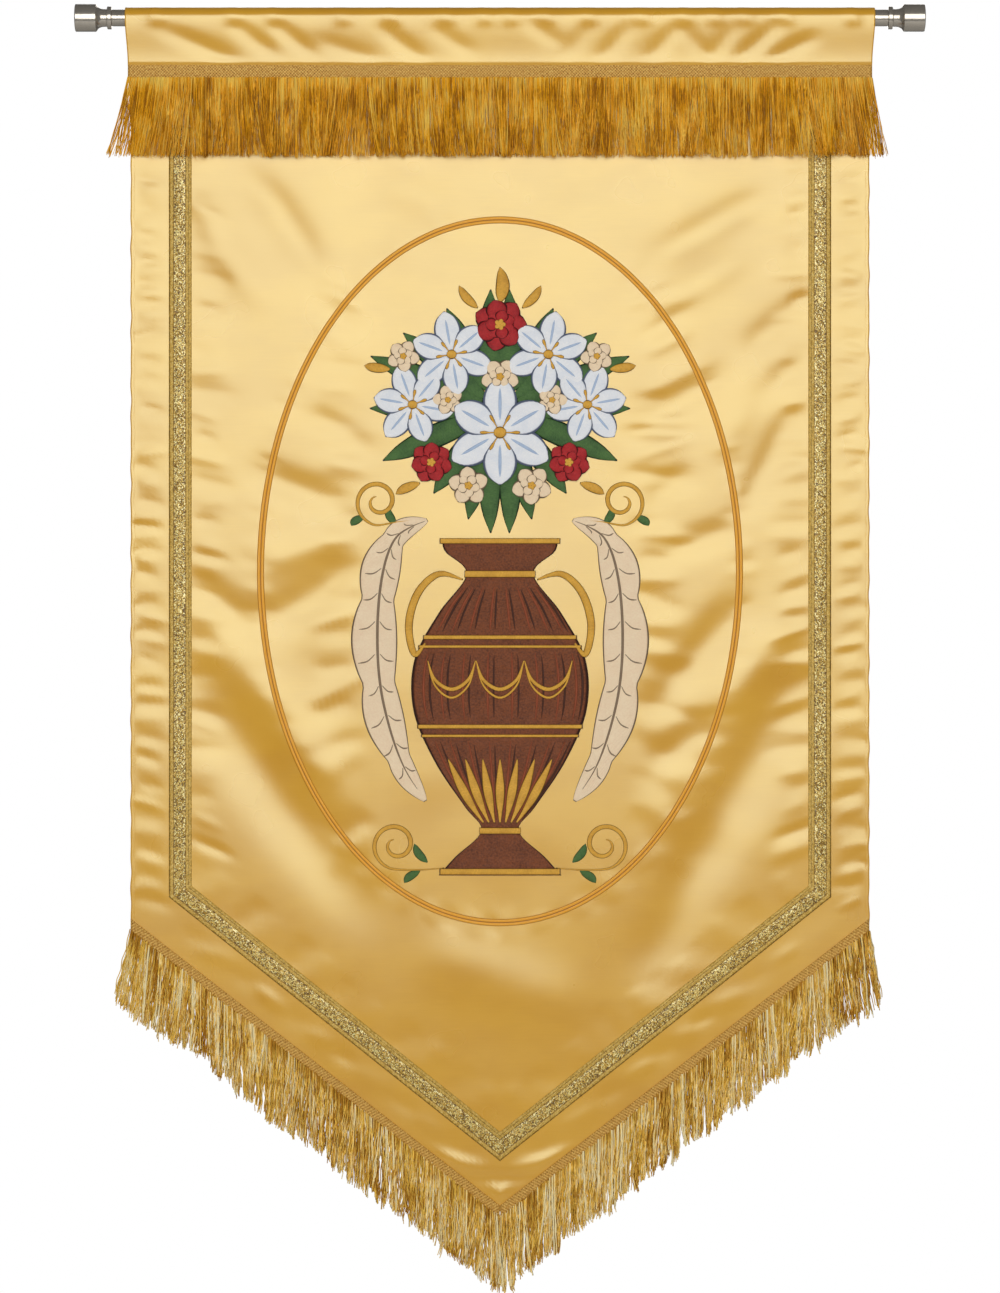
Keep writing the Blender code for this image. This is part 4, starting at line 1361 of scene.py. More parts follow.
# %% The three fringes
TOP_THREADS = {
    "Count": 3500, "Seed": 3, "Length": 0.0835, "Uneven": 0.025, "Thickness": 0.00040,
    "Layer Depth": 0.0012, "Forward": 0.0036, "Bunch Width": 0.0090, "Gather": 0.10,
    "Bunch Lean": 0.0680, "Bunch Uneven": 0.02, "Curl": 0.0003, "Curl Turns": 1.6,
    "Splay": 0.013, "Half Width": SEAM_HALF_WIDTH, "Steps": 9, "Waver": 0.0090,
    "Stout": 0.0,
}
FOOT_THREADS = {
    "Count": 1960, "Length": 0.0775, "Uneven": 0.07, "Thickness": 0.00064,
    "Layer Depth": 0.0034, "Forward": 0.0006, "Bunch Width": 0.0098, "Gather": 0.86,
    "Bunch Lean": 0.0380, "Bunch Uneven": 0.16, "Curl": 0.0011, "Curl Turns": 3.1,
    "Splay": 0.014, "Half Width": HALF_WIDTH, "Steps": 14, "Waver": 0.0050,
    "Stout": 0.9,
}
ROOT_LAP = 0.0010


def make_top_fringe():
    x = np.linspace(-SEAM_HALF_WIDTH, SEAM_HALF_WIDTH, 81)
    line = on_front(x, np.full_like(x, SEAM_FOOT - ROOT_LAP), 0.0004)
    return grow("top_fringe_threads", line, FRINGE, Finish=top_thread, **TOP_THREADS)


def make_foot_fringe(name, side, seed):
    x = side * np.linspace(HALF_WIDTH, GAP, 61)
    line = on_front(x, hem_depth(x) + FOOT_HEADING_HEIGHT / 2 - ROOT_LAP, 0.0004)
    return grow(name, line, FRINGE, Finish=foot_thread, Seed=seed, **FOOT_THREADS)


top_fringe = make_top_fringe()
foot_fringes = {
    "left": make_foot_fringe("foot_fringe_threads_left", -1, 21),
    "right": make_foot_fringe("foot_fringe_threads_right", 1, 22),
}

# %% [markdown]
# ## Rod and end caps
# The rod is a plain brushed tube, and each end cap is turned on a lathe: a thin ring, a narrow
# neck and a barrel with a flat end. A turned piece is a profile spun about the rod's axis. The
# lathe leaves fine rings, and the tube's own grain runs round it too.

# %% Brushed steel
def make_steel():
    made, net, shader = new_finish("brushed steel", Metallic=0.74)
    place = net.object_place()
    rings = net.noise(place * (4200.0, 160.0, 160.0), 1.0, 2.0)
    cloud = net.noise(place, 40.0, 3.0)
    colour = net.mix(cloud * 0.6 + rings * 0.4, (0.38, 0.34, 0.28), (0.60, 0.55, 0.47))
    paint(net, shader, Base_Color=colour, Roughness=rings * 0.06 + 0.18, Normal=net.bump(rings, 0.00004, 0.15))
    return made


steel = make_steel()
print("finish:", steel.name)

# %% Turned pieces
TURNED_SIDES = 72
WELD = 0.000001
CAP_PLUG_LENGTH = 0.020
ROD_WALL = 0.001
CapSection = namedtuple("CapSection", "length radius")
CAP_RING = CapSection(0.0050, 0.01225)
CAP_NECK = CapSection(0.0102, 0.0095)
CAP_BARREL = CapSection(0.0242, 0.01475)
CAP_ROUNDING = 0.0008
# The neck flares towards the barrel: how far before the barrel, and by how much.
CAP_FLARE = ((0.0060, 0.0), (0.0042, 0.0003), (0.0024, 0.0009), (0.0010, 0.0018), (0.0, 0.0028))


def turned(name, profile, material, closed):
    """A piece spun about the rod's axis from (along, radius) points."""
    shape = bmesh.new()
    corners = [shape.verts.new((along, 0.0, radius)) for along, radius in profile]
    pairs = list(zip(corners, corners[1:]))
    if closed:
        pairs.append((corners[-1], corners[0]))
    edges = [shape.edges.new(pair) for pair in pairs]
    spin = {"cent": (0, 0, 0), "axis": (1, 0, 0), "angle": 2 * math.pi, "steps": TURNED_SIDES}
    bmesh.ops.spin(shape, geom=corners + edges, **spin)
    bmesh.ops.remove_doubles(shape, verts=shape.verts, dist=WELD)
    mesh = bpy.data.meshes.new(name)
    shape.to_mesh(mesh)
    shape.free()
    made = add_piece(name, mesh, material)
    mesh.set_sharp_from_angle(angle=SHARP_EDGE)
    print(name, "has", sum(len(face.vertices) - 2 for face in mesh.polygons), "triangles")
    return made


def rounded(along, radius, step_along, step_radius):
    """Points that round an outer corner off, after one that keeps the side before it straight."""
    middle = 1 - math.sqrt(0.5)
    return [
        (along - step_along * 1.6, radius),
        (along - step_along, radius),
        (along - step_along * middle, radius - step_radius * middle),
        (along, radius - step_radius),
    ]


def make_rod():
    inner = ROD_RADIUS - ROD_WALL
    length = ROD_HALF_LENGTH
    profile = [(-length, ROD_RADIUS), (length, ROD_RADIUS), (length, inner), (-length, inner)]
    return turned("hanging_rod", profile, steel, closed=True)


def make_cap(name, side):
    plug = ROD_RADIUS - ROD_WALL - GAP
    r = CAP_ROUNDING
    seat = ROD_HALF_LENGTH + GAP
    neck_start = seat + CAP_RING.length
    barrel_start = neck_start + CAP_NECK.length
    end = barrel_start + CAP_BARREL.length
    profile = [(seat - CAP_PLUG_LENGTH, 0.0), (seat - CAP_PLUG_LENGTH, plug), (seat, plug)]
    profile += [(2 * seat - along, radius) for along, radius in reversed(rounded(seat, CAP_RING.radius, r, r))]
    profile += rounded(neck_start, CAP_RING.radius, r, r)
    profile += [(neck_start, CAP_NECK.radius)]
    profile += [(barrel_start - before, CAP_NECK.radius + flare) for before, flare in CAP_FLARE]
    profile += [(barrel_start + 2 * r, CAP_BARREL.radius), (barrel_start + 2.6 * r, CAP_BARREL.radius)]
    profile += rounded(end, CAP_BARREL.radius, r, r) + [(end, 0.0)]
    return turned(name, [(side * along, radius) for along, radius in profile], steel, closed=False)


rod = make_rod()
caps = {"left": make_cap("end_cap_left", -1), "right": make_cap("end_cap_right", 1)}

# %% [markdown]
# ## Embroidery as padded motifs
# Embroidery stands up from the cloth because its stitches cover padding, and each motif keeps
# its own edge. All of them here are blades: a spine with a width on either side, a rounded top,
# and a map in metres so that the stitches keep their true pitch. An urn, a petal and a curled
# leaf differ only in their spines and widths.


# %% Blades
def through(points, count):
    """Points at even steps of a smooth curve through these ones."""
    points = np.array(points, dtype=float)
    padded = np.concatenate([points[:1], points, points[-1:]])
    place = np.linspace(0.0, len(points) - 1, count)
    index = np.minimum(place.astype(int), len(points) - 2)
    t = (place - index)[:, None]
    a, b, c, d = (padded[index + k] for k in range(4))
    return b + 0.5 * ((c - a) * t + (2 * a - 5 * b + 4 * c - d) * t**2 + (3 * b - a - 3 * c + d) * t**3)


def add_blade(layers, spine, lefts, rights, thickness, base=0.0, outlined=True, steps=(20, 8)):
    """A padded motif along a spine of (x, depth) points, with half widths at even shares."""
    rows, columns = steps
    centre = through(spine, rows)
    ahead = np.gradient(centre, axis=0)
    ahead /= np.maximum(np.linalg.norm(ahead, axis=1), 1e-9)[:, None]
    across = np.stack([ahead[:, 1], -ahead[:, 0]], axis=-1)
    left = np.maximum(through([(w, 0.0) for w in lefts], rows)[:, 0], 0.0003)
    right = np.maximum(through([(w, 0.0) for w in rights], rows)[:, 0], 0.0003)
    t = np.linspace(-1.0, 1.0, columns + 1)[None, :]
    reach = np.where(t < 0, t * left[:, None], t * right[:, None])
    x = centre[:, 0:1] + across[:, 0:1] * reach
    depth = centre[:, 1:2] + across[:, 1:2] * reach
    ends = np.minimum(np.linspace(0.0, 1.0, rows), np.linspace(1.0, 0.0, rows)) * rows / 2
    round_ends = np.clip(ends, 0.35, 1.0)[:, None]
    height = thickness * round_ends * (0.35 + 0.65 * np.sqrt(np.maximum(1 - t**2, 0.0)))
    along = lengths_along(centre[:, 0], centre[:, 1])[:, None]
    border = np.zeros(x.shape)
    border[:, [0, -1]] = border[[0, -1], :] = float(outlined)
    layers.add(x, depth, height, np.broadcast_to(along, x.shape), reach, base, border)


print("blades are ready")

# %% Stitched finishes
STITCH = 0.0013
OUTLINE_EDGE = (0.35, 0.65)
# A stitched finish: its thread, its shade, its outline, and how deep its needle holes look.
Thread = namedtuple("Thread", "name light dark outline holes edge_shade")
THREADS = {
    "brown": Thread("chestnut fill stitch", (0.240, 0.062, 0.014), (0.084, 0.020, 0.005), (0.040, 0.010, 0.004), 0.5, 0.0),
    "russet": Thread("russet stitched line", (0.360, 0.080, 0.026), (0.200, 0.040, 0.014), (0.100, 0.020, 0.008), 0.1, 0.0),
    "umber": Thread("umber stitched line", (0.075, 0.020, 0.007), (0.040, 0.010, 0.004), (0.020, 0.006, 0.003), 0.1, 0.0),
    "cream": Thread("cream fill stitch", (1.000, 0.800, 0.540), (0.930, 0.670, 0.430), (0.210, 0.140, 0.080), 0.25, 3.0),
    "white": Thread("white fill stitch", (1.000, 0.990, 0.975), (0.780, 0.830, 0.910), (0.120, 0.150, 0.230), 0.1, 10.0),
    "blue": Thread("pale blue stitched line", (0.520, 0.640, 0.820), (0.340, 0.450, 0.640), (0.200, 0.260, 0.380), 0.0, 0.0),
    "green": Thread("green satin stitch", (0.090, 0.200, 0.045), (0.016, 0.060, 0.016), (0.008, 0.026, 0.008), 0.1, 14.0),
    "crimson": Thread("crimson satin stitch", (0.560, 0.016, 0.018), (0.220, 0.004, 0.008), (0.060, 0.002, 0.004), 0.1, 16.0),
    "gold": Thread("gold thread stitch", (0.900, 0.490, 0.060), (0.470, 0.210, 0.020), (0.170, 0.080, 0.010), 0.1, 20.0),
    "outline": Thread("grey-brown outline stitch", (0.300, 0.210, 0.130), (0.180, 0.120, 0.070), (0.100, 0.070, 0.050), 0.0, 0.0),
}


def make_stitching(thread):
    """Fill stitches that run across the spine, shaded towards their edge, with an outline."""
    made, net, shader = new_finish(thread.name, IOR=1.45, Sheen_Weight=0.06, Sheen_Roughness=0.4)
    place, along, across = net.uv()
    course = (along * (2 * math.pi / STITCH)).sine() * 0.5 + 0.5
    cloud = net.noise(place, 60.0, 3.0)
    fibre = net.noise(place * (1500.0, 260.0, 1.0), 1.0, 2.0)
    holes = net.noise(place, 480.0, 1.0)
    shade = cloud * 0.7 + (1 - course) * 0.16 + (0.55 - fibre) * 0.6 - 0.14
    shade = shade + (holes - 0.5) * (thread.holes * 2.2) + across.size() * thread.edge_shade
    colour = net.ramp(shade, (0.12, thread.light), (0.78, thread.dark))
    outline = net.smooth(net.attribute("tone"), *OUTLINE_EDGE)
    paint(
        net,
        shader,
        Base_Color=net.mix(outline, colour, thread.outline),
        Roughness=0.60 - fibre * 0.15,
        Normal=net.bump(course * 0.7 + fibre * 0.6 + holes * thread.holes, 0.0005, 0.8),
    )
    return made


STITCHING = {colour: make_stitching(thread) for colour, thread in THREADS.items()}
print("stitched finishes:", sorted(STITCHING))

# %% [markdown]
# ## The emblem
# The emblem is an urn of flowers between two curled leaves, an old pattern for church linen. The
# urn is chestnut with gold bands, the leaves are cream, and the bouquet holds white lilies shaded
# with pale blue, crimson rosettes, small green leaves and gold buds.

# %% The urn
UrnSection = namedtuple("UrnSection", "depth half_width")
URN = (
    UrnSection(0.560, 0.062),
    UrnSection(0.574, 0.059),
    UrnSection(0.598, 0.036),
    UrnSection(0.640, 0.066),
    UrnSection(0.690, 0.092),
    UrnSection(0.745, 0.093),
    UrnSection(0.800, 0.070),
    UrnSection(0.848, 0.038),
    UrnSection(0.874, 0.020),
    UrnSection(0.902, 0.048),
    UrnSection(0.922, 0.066),
)
URN_THICKNESS = 0.0016
URN_ROWS = 90
URN_COLUMNS = 32
FLUTES = (-0.86, -0.66, -0.42, -0.14, 0.14, 0.42, 0.66, 0.86)
FLUTE_HALF_WIDTH = 0.0012
Band = namedtuple("Band", "depth height overhang")
URN_BANDS = (
    Band(0.5625, 0.0060, 0.0030),
    Band(0.5980, 0.0075, 0.0022),
    Band(0.6660, 0.0045, 0.0010),
    Band(0.6760, 0.0030, 0.0010),
    Band(0.7620, 0.0045, 0.0010),
    Band(0.7720, 0.0030, 0.0010),
    Band(0.8740, 0.0070, 0.0022),
    Band(0.9180, 0.0070, 0.0026),
)
SWAG_ENDS = (-0.078, -0.026, 0.026, 0.078)
SWAG_TOP = 0.690
SWAG_FOOT = 0.722
PETAL_WIDTHS = (0.10, 0.55, 0.95, 1.0, 0.70, 0.04)


def urn_half_width(depth):
    curve = through(URN, 400)
    return np.interp(depth, curve[:, 0], curve[:, 1])


def even_blade(layers, spine, half_width, thickness, base, steps, outlined=False):
    """A blade of one width that tapers at both ends."""
    half = [half_width * share for share in (0.2, 0.8, 1.0, 1.0, 0.8, 0.2)]
    add_blade(layers, spine, half, half, thickness, base, outlined, steps)


def make_urn():
    depth = np.linspace(URN[0].depth, URN[-1].depth, URN_ROWS)
    half = urn_half_width(depth)
    t = np.linspace(-1.0, 1.0, URN_COLUMNS + 1)[None, :]
    x = half[:, None] * t
    grooves = sum(np.exp(-(((t - flute) / 0.05) ** 2)) for flute in FLUTES)
    height = URN_THICKNESS * (0.40 + 0.60 * (1 - np.abs(t) ** 6)) * (1 - 0.35 * np.minimum(grooves, 1.0))
    height = np.broadcast_to(height, x.shape)
    depths = np.broadcast_to(depth[:, None], x.shape)
    border = np.broadcast_to(np.where(np.abs(t) > 0.97, 1.0, 0.0), x.shape)
    layers = Layers()
    layers.add(x, depths, height, depths, x, tone=border)
    return layers.piece("urn_fill_stitch", STITCHING["brown"])


def make_urn_lines(name, colour, shift):
    """Lines of stitching that follow the urn's flutes from its neck to its foot."""
    layers = Layers()
    for flute in FLUTES:
        for start, end in ((0.612, 0.660), (0.682, 0.756), (0.778, 0.862)):
            depths = np.linspace(start, end, 6)
            spine = [(float(urn_half_width(d)) * (flute + shift), d) for d in depths]
            even_blade(layers, spine, FLUTE_HALF_WIDTH, 0.0007, 0.0011, (20, 4))
    return layers.piece(name, STITCHING[colour])


def make_urn_gold():
    """Bands round the urn, swags on its shoulder, petals over its foot, and two handles."""
    layers = Layers()
    for band in URN_BANDS:
        reach = float(urn_half_width(band.depth)) + band.overhang
        spine = [(share * reach, band.depth) for share in (-1.0, -0.5, 0.0, 0.5, 1.0)]
        half = [band.height / 2] * 4
        add_blade(layers, spine, half, half, 0.0014, base=0.0014, steps=(40, 6))
    for left, right in zip(SWAG_ENDS, SWAG_ENDS[1:]):
        middle = (left + right) / 2
        for lower, thick in ((0.0, 0.0022), (0.009, 0.0013)):
            foot = SWAG_FOOT + lower
            spine = [(left, SWAG_TOP), (left * 0.7 + middle * 0.3, (SWAG_TOP + foot * 2) / 3), (middle, foot)]
            spine += [(right * 0.7 + middle * 0.3, (SWAG_TOP + foot * 2) / 3), (right, SWAG_TOP)]
            even_blade(layers, spine, thick, 0.0012, 0.0015, (24, 6), outlined=True)
    for flute in (-0.78, -0.52, -0.26, 0.0, 0.26, 0.52, 0.78):
        depths = (0.866, 0.846, 0.822, 0.796)
        spine = [(float(urn_half_width(d)) * flute, d) for d in depths]
        half = [0.0052 * share for share in (0.15, 0.45, 0.9, 1.0, 0.6, 0.05)]
        add_blade(layers, spine, half, half, 0.0012, base=0.0014, steps=(18, 6))
    for side in (-1, 1):
        line = ((0.040, 0.604), (0.066, 0.598), (0.088, 0.618), (0.098, 0.652), (0.092, 0.684), (0.080, 0.672))
        spine = [(side * x, depth) for x, depth in line]
        even_blade(layers, spine, 0.0042, 0.0020, 0.0006, (44, 8), outlined=True)
    return layers.piece("urn_gold_bands", STITCHING["gold"])


urn = make_urn()
urn_lines = make_urn_lines("urn_russet_lines", "russet", 0.0)
urn_shades = make_urn_lines("urn_umber_lines", "umber", 0.07)
urn_bands = make_urn_gold()

# %% The two leaves
LeafPlace = namedtuple("LeafPlace", "x depth")
LEAF_SPINE = (
    LeafPlace(0.078, 0.540),
    LeafPlace(0.114, 0.562),
    LeafPlace(0.130, 0.625),
    LeafPlace(0.129, 0.715),
    LeafPlace(0.108, 0.795),
    LeafPlace(0.080, 0.842),
)
LEAF_HALF_WIDTH = 0.024
LEAF_INNER_SHARE = 0.8
LEAF_LOBES = 5
LEAF_LOBE_DEPTH = 0.009
INNER_LOBE_SHARE = 0.5
LEAF_SAMPLES = 41
VEIN_HALF_WIDTH = 0.0011
VEINS_A_SIDE = 11


def leaf_widths():
    """Half widths along a leaf. Its outer edge has the deeper scallops."""
    share = np.linspace(0.0, 1.0, LEAF_SAMPLES)
    half = LEAF_HALF_WIDTH * np.sin(np.pi * (0.015 + 0.97 * share)) ** 0.8
    lobe = LEAF_LOBE_DEPTH * (np.abs(np.sin(np.pi * LEAF_LOBES * share)) - 0.5) * np.sin(np.pi * share)
    outer = half + lobe
    inner = half * LEAF_INNER_SHARE + INNER_LOBE_SHARE * lobe
    return inner.tolist(), outer.tolist()


def make_leaf(name, side):
    inner, outer = leaf_widths()
    spine = [(side * place.x, place.depth) for place in LEAF_SPINE]
    lefts, rights = (inner, outer) if side > 0 else (outer, inner)
    layers = Layers()
    add_blade(layers, spine, lefts, rights, 0.0016, steps=(90, 16))
    return layers.piece(name, STITCHING["cream"])


def make_veins(name, side):
    """A midrib with side veins, in the grey-brown of the outlines."""
    curve = through(LEAF_SPINE, LEAF_SAMPLES)
    inner, outer = leaf_widths()
    layers = Layers()
    rib = [(side * x, depth) for x, depth in curve[1:-1:3]]
    even_blade(layers, rib, VEIN_HALF_WIDTH * 1.3, 0.0006, 0.0015, (70, 4))
    for vein in range(VEINS_A_SIDE):
        start = 3 + vein * 3
        ahead = curve[start + 2] - curve[start]
        ahead /= np.linalg.norm(ahead)
        across = np.array([ahead[1], -ahead[0]])
        for direction, reach in ((1, outer[start]), (-1, inner[start])):
            root = curve[start]
            end = root + across * direction * reach * 0.78 + ahead * 0.012
            bend = (root + end) / 2 + ahead * 0.004
            line = [(side * x, depth) for x, depth in (root, bend, end)]
            even_blade(layers, line, VEIN_HALF_WIDTH * 0.8, 0.0005, 0.0012, (10, 4))
    return layers.piece(name, STITCHING["outline"])


leaves = {"left": make_leaf("leaf_fill_stitch_left", -1), "right": make_leaf("leaf_fill_stitch_right", 1)}
veins = {"left": make_veins("leaf_veins_left", -1), "right": make_veins("leaf_veins_right", 1)}

# %% The bouquet's flowers
Blossom = namedtuple("Blossom", "x depth radius petals turn level")
LILIES = (
    Blossom(-0.094, 0.416, 0.045, 6, 10, 0),
    Blossom(0.094, 0.416, 0.045, 6, 50, 0),
    Blossom(-0.052, 0.362, 0.047, 6, 20, 1),
    Blossom(0.052, 0.362, 0.047, 6, 40, 1),
    Blossom(0.000, 0.446, 0.060, 6, 30, 2),
)
CREAM_ROSES = (
    Blossom(0.000, 0.386, 0.021, 5, 18, 0),
    Blossom(-0.056, 0.411, 0.017, 5, 40, 0),
    Blossom(0.056, 0.411, 0.017, 5, 0, 0),
    Blossom(-0.104, 0.364, 0.018, 5, 10, 0),
    Blossom(0.104, 0.364, 0.018, 5, 30, 0),
    Blossom(-0.034, 0.503, 0.022, 5, 50, 0),
    Blossom(0.034, 0.503, 0.022, 5, 20, 0),
)
CRIMSON_ROSES = (
    Blossom(0.000, 0.330, 0.029, 7, 0, 1),
    Blossom(-0.074, 0.478, 0.023, 7, 15, 1),
    Blossom(0.074, 0.478, 0.023, 7, 15, 1),
)
LEVEL_RISE = 0.0007


def petal_spine(blossom, angle, start, end):
    turn = math.radians(angle)
    ahead = (math.cos(turn), math.sin(turn))
    shares = (start, start + (end - start) * 0.5, end)
    return [(blossom.x + blossom.radius * s * ahead[0], blossom.depth + blossom.radius * s * ahead[1]) for s in shares]


def add_flower(layers, blossom, width, base, thickness, steps=(16, 8)):
    """A round of petals. Every second one lies over its neighbours."""
    for index in range(blossom.petals):
        angle = blossom.turn + 360 * index / blossom.petals
        over = index % 2
        spine = petal_spine(blossom, angle, 0.06, 1.0 - 0.06 * over)
        half = [blossom.radius * width * share for share in PETAL_WIDTHS]
        add_blade(layers, spine, half, half, thickness, base + LEVEL_RISE * over, steps=steps)


def make_lilies():
    layers = Layers()
    for blossom in LILIES:
        add_flower(layers, blossom, 0.30, 0.0005 + LEVEL_RISE * blossom.level, 0.0016)
    return layers.piece("bouquet_lilies", STITCHING["white"])


def make_lily_lines():
    """A pale blue crease down the middle of every petal."""
    layers = Layers()
    for blossom in LILIES:
        for index in range(blossom.petals):
            spine = petal_spine(blossom, blossom.turn + 360 * index / blossom.petals, 0.22, 0.80)
            base = 0.0019 + LEVEL_RISE * (blossom.level + index % 2)
            even_blade(layers, spine, blossom.radius * 0.028, 0.0006, base, (14, 4))
    return layers.piece("bouquet_petal_lines", STITCHING["blue"])


def make_roses(name, roses, colour):
    """Roses of two rounds of petals, the inner round smaller and turned."""
    layers = Layers()
    for rose in roses:
        base = 0.0012 + LEVEL_RISE * rose.level
        add_flower(layers, rose, 0.42, base, 0.0014, (12, 6))
        inner = rose._replace(radius=rose.radius * 0.58, turn=rose.turn + 180 / rose.petals)
        add_flower(layers, inner, 0.44, base + 0.0014, 0.0012, (10, 6))
    return layers.piece(name, STITCHING[colour])


lilies = make_lilies()
lily_lines = make_lily_lines()
cream_roses = make_roses("bouquet_cream_roses", CREAM_ROSES, "cream")
crimson_roses = make_roses("bouquet_crimson_roses", CRIMSON_ROSES, "crimson")

# %% Green leaves, gold buds and scrolls
BOUQUET_DEPTH = 0.420
# A round of leaves behind the flowers: the angle of each, and how far it reaches.
LEAF_ROUND = (
    (-90, 0.128), (-62, 0.122), (-38, 0.132), (-22, 0.150), (0, 0.140), (24, 0.138),
    (52, 0.116), (74, 0.124), (90, 0.134),
)
LEAF_ROUND_START = 0.018
Sprig = namedtuple("Sprig", "x depth end_x end_depth half_width")
BUD_SPRIGS = (
    Sprig(0.000, 0.306, 0.000, 0.268, 0.0075),
    Sprig(0.024, 0.312, 0.044, 0.288, 0.0050),
    Sprig(0.118, 0.378, 0.146, 0.374, 0.0052),
    Sprig(0.086, 0.500, 0.112, 0.512, 0.0052),
)
# A curl is a stem that runs into a spiral: where the stem starts, and the spiral's middle and size.
Curl = namedtuple("Curl", "stem_x stem_depth x depth radius")
CURLS = (
    Curl(0.060, 0.914, 0.112, 0.889, 0.0265),
    Curl(0.090, 0.540, 0.131, 0.520, 0.0255),
)
CURL_TURN = 520
CURL_END = 0.22
CURL_SAMPLES = 22
SCROLL_LEAVES = (
    Sprig(0.078, 0.908, 0.092, 0.888, 0.0045),
    Sprig(0.086, 0.917, 0.103, 0.930, 0.0045),
    Sprig(0.112, 0.544, 0.120, 0.526, 0.0045),
    Sprig(0.146, 0.536, 0.160, 0.546, 0.0045),
)


def add_sprigs(layers, sprigs, thickness, base):
    """Each sprig is sewn on both sides of the middle, as in a mirror."""
    for sprig in sprigs:
        for side in (-1, 1) if sprig.x or sprig.end_x else (1,):
            bend = ((sprig.x + sprig.end_x) / 2 + 0.003, (sprig.depth + sprig.end_depth) / 2)
            line = ((sprig.x, sprig.depth), bend, (sprig.end_x, sprig.end_depth))
            half = [sprig.half_width * share for share in (0.15, 0.85, 1.0, 0.7, 0.05)]
            spine = [(side * x, depth) for x, depth in line]
            add_blade(layers, spine, half, half, thickness, base=base, steps=(16, 8))


def make_green():
    layers = Layers()
    for angle, reach in LEAF_ROUND:
        turn = math.radians(angle)
        ends = [(d * math.cos(turn), BOUQUET_DEPTH + d * math.sin(turn)) for d in (LEAF_ROUND_START, reach)]
        sprig = Sprig(*ends[0], *ends[1], 0.0130)
        if abs(angle) == 90:
            sprig = sprig._replace(x=0.006, end_x=0.010)
        add_sprigs(layers, [sprig], 0.0010, 0.0)
    add_sprigs(layers, SCROLL_LEAVES, 0.0010, 0.0)
    return layers.piece("bouquet_green_leaves", STITCHING["green"])


def curl_line(curl, side):
    """The stem, and then a spiral that starts below its middle and turns outwards and up."""
    line = [(curl.stem_x, curl.stem_depth), ((curl.stem_x + curl.x) / 2, curl.stem_depth + 0.002)]
    for share in np.linspace(0.0, 1.0, CURL_SAMPLES):
        turn = math.radians(90 - CURL_TURN * share)
        radius = curl.radius * (1 + (CURL_END - 1) * share)
        line.append((curl.x + radius * math.cos(turn), curl.depth + radius * math.sin(turn)))
    return [(side * x, depth) for x, depth in line]


def make_gold():
    """Gold buds, scrolls, and the gold heart and stamens of every flower."""
    layers = Layers()
    add_sprigs(layers, BUD_SPRIGS, 0.0014, 0.0010)
    for curl in CURLS:
        for side in (-1, 1):
            even_blade(layers, curl_line(curl, side), 0.0025, 0.0014, 0.0, (110, 6), outlined=True)
    for blossom in LILIES:
        heart = [blossom.radius * width for width in (0.04, 0.10, 0.10, 0.04)]
        spine = petal_spine(blossom, 0.0, -0.11, 0.11)
        add_blade(layers, spine, heart, heart, 0.0012, 0.0030 + LEVEL_RISE * blossom.level, steps=(12, 6))
        for index in range(blossom.petals):
            angle = blossom.turn + 30 + 360 * index / blossom.petals
            spine = petal_spine(blossom, angle, 0.05, 0.36)
            half = [0.0005, 0.0006, 0.0008, 0.0018, 0.0009]
            add_blade(layers, spine, half, half, 0.0008, 0.0026 + LEVEL_RISE * blossom.level, steps=(12, 4))
    for rose in CREAM_ROSES + CRIMSON_ROSES:
        for angle in range(0, 360, 72):
            spine = petal_spine(rose, angle, 0.0, 0.22)
            half = [rose.radius * width for width in (0.02, 0.09, 0.10, 0.02)]
            add_blade(layers, spine, half, half, 0.0010, 0.0040 + LEVEL_RISE * rose.level, steps=(8, 4))
    return layers.piece("bouquet_gold_threads", STITCHING["gold"])


green_leaves = make_green()
gold_threads = make_gold()

# %% [markdown]
# ## Stitches
# The hems and the sleeve's flap are sewn by machine. Each stitch is a tiny rounded bar, and the
# same tree that set the braid's scrolls sets them along their lines.

# %% Machine stitches
STITCH_LENGTH = 0.0026
STITCH_PITCH = 0.0034
STITCH_RADIUS = 0.00026
STITCH_SECTIONS = ((0.0, 0.4), (0.2, 1.0), (0.8, 1.0), (1.0, 0.4))
STITCH_SIDES = 5
HEM_SINK = 0.0003
SEAM_ROWS = (0.0525, 0.0625)


def stitch_motif():
    points = []
    faces = []
    for share, width in STITCH_SECTIONS:
        for side in range(STITCH_SIDES):
            turn = 2 * math.pi * side / STITCH_SIDES
            x = (share - 0.5) * STITCH_LENGTH
            radius = STITCH_RADIUS * width
            points.append((x, radius * math.cos(turn), radius * math.sin(turn)))
    for section in range(len(STITCH_SECTIONS) - 1):
        for side in range(STITCH_SIDES):
            after = (side + 1) % STITCH_SIDES
            first = section * STITCH_SIDES
            second = first + STITCH_SIDES
            faces.append((first + side, first + after, second + after, second + side))
    faces.append(tuple(range(STITCH_SIDES)))
    faces.append(tuple(range(len(points) - STITCH_SIDES, len(points))))
    return motif_object("stitch", points, faces)


def make_stitches():
    motif = stitch_motif()
    thread = {"Motif": motif, "Finish": sewing_thread, "Pitch": STITCH_PITCH, "Turn": 0.0}
    made = []
    depth = np.linspace(0.160, SIDE_DEPTH - 0.010, 240)
    for name, side in (("hem_stitches_left", -1), ("hem_stitches_right", 1)):
        x = np.full_like(depth, side * (HALF_WIDTH - HEM_STITCH))
        made.append(grow(name, on_front(x, depth, -HEM_SINK), REPEAT, **thread))
    x = np.linspace(-SEAM_HALF_WIDTH + 0.004, SEAM_HALF_WIDTH - 0.004, 80)
    for name, seam in zip(("flap_stitches_upper", "flap_stitches_lower"), SEAM_ROWS):
        y = np.full_like(x, FLAP_DISTANCE + SHEET / 2)
        line = np.stack([x, y, np.full_like(x, -seam)], axis=-1)
        made.append(grow(name, line, REPEAT, **thread))
    bpy.data.objects.remove(motif)
    return made


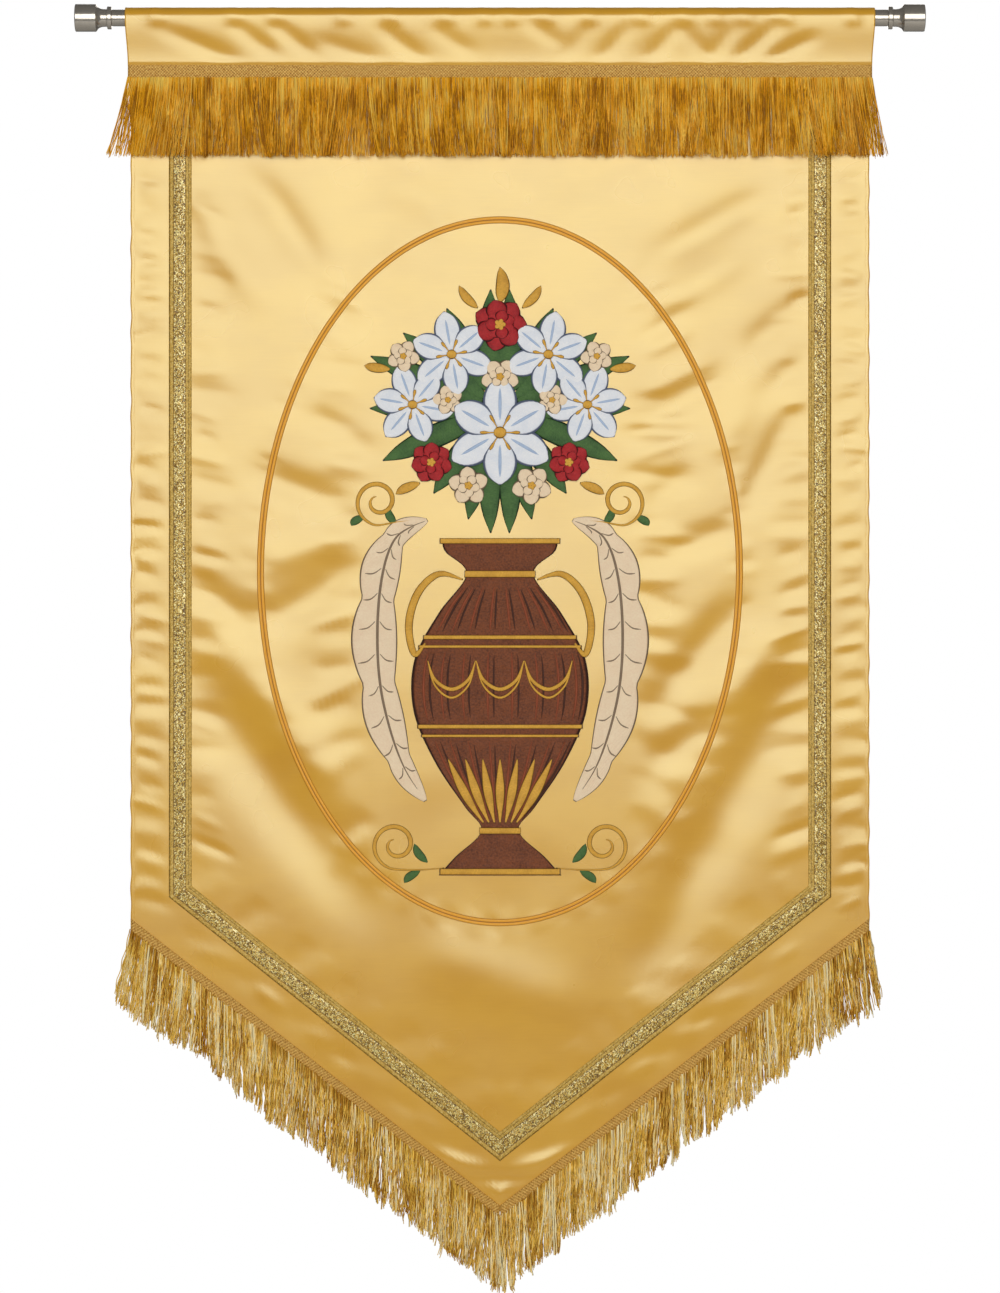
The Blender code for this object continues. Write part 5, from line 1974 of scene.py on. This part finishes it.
def make_sewing_thread():
    made, net, shader = new_finish("sewing thread", Roughness=0.5)
    twist = net.noise(net.object_place(), 1800.0, 1.0)
    paint(net, shader, Base_Color=net.mix(twist, (0.50, 0.28, 0.05), (0.72, 0.46, 0.12)))
    paint(net, shader, Normal=net.bump(twist, 0.0002, 0.6))
    return made


sewing_thread = make_sewing_thread()
stitches = make_stitches()

# %% [markdown]
# ## What stands for what
# Each dressed piece says which piece of the construction it stands for, which material of the
# record it takes its finish from, and that it rides with the one body, since cloth has no
# joints.

# %% Pieces and their places
Dressed = namedtuple("Dressed", "piece slot stands_for")
DRESSED = (
    Dressed(rod, "steel", "rod"),
    Dressed(caps["left"], "steel", "finial_left"),
    Dressed(caps["right"], "steel", "finial_right"),
    Dressed(cloth, "satin", "banner_cloth"),
    Dressed(braid, "galloon", "galloon_braid"),
    Dressed(scrolls, "galloon", None),
    Dressed(oval, "cord", "oval_cord"),
    Dressed(top_heading, "fringe", None),
    Dressed(top_fringe, "fringe", "top_fringe"),
    Dressed(foot_headings["left"], "fringe", None),
    Dressed(foot_headings["right"], "fringe", None),
    Dressed(foot_fringes["left"], "fringe", "bottom_fringe_left"),
    Dressed(foot_fringes["right"], "fringe", "bottom_fringe_right"),
    Dressed(urn, "brown_stitching", "urn_patch"),
    Dressed(urn_lines, "brown_stitching", None),
    Dressed(urn_shades, "brown_stitching", None),
    Dressed(urn_bands, None, None),
    Dressed(leaves["left"], "cream_stitching", "leaf_patch_left"),
    Dressed(leaves["right"], "cream_stitching", "leaf_patch_right"),
    Dressed(veins["left"], None, None),
    Dressed(veins["right"], None, None),
    Dressed(lilies, "white_stitching", "bouquet_patch"),
    Dressed(lily_lines, None, None),
    Dressed(cream_roses, "cream_stitching", None),
    Dressed(crimson_roses, None, None),
    Dressed(green_leaves, None, None),
    Dressed(gold_threads, None, None),
) + tuple(Dressed(piece, None, None) for piece in stitches)

for dressed in DRESSED:
    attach(dressed.piece, "root")
    if dressed.stands_for:
        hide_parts(dressed.stands_for)

# %% The pieces sewn onto the sheet
sewn_on = [dressed.piece for dressed in DRESSED[4:]]
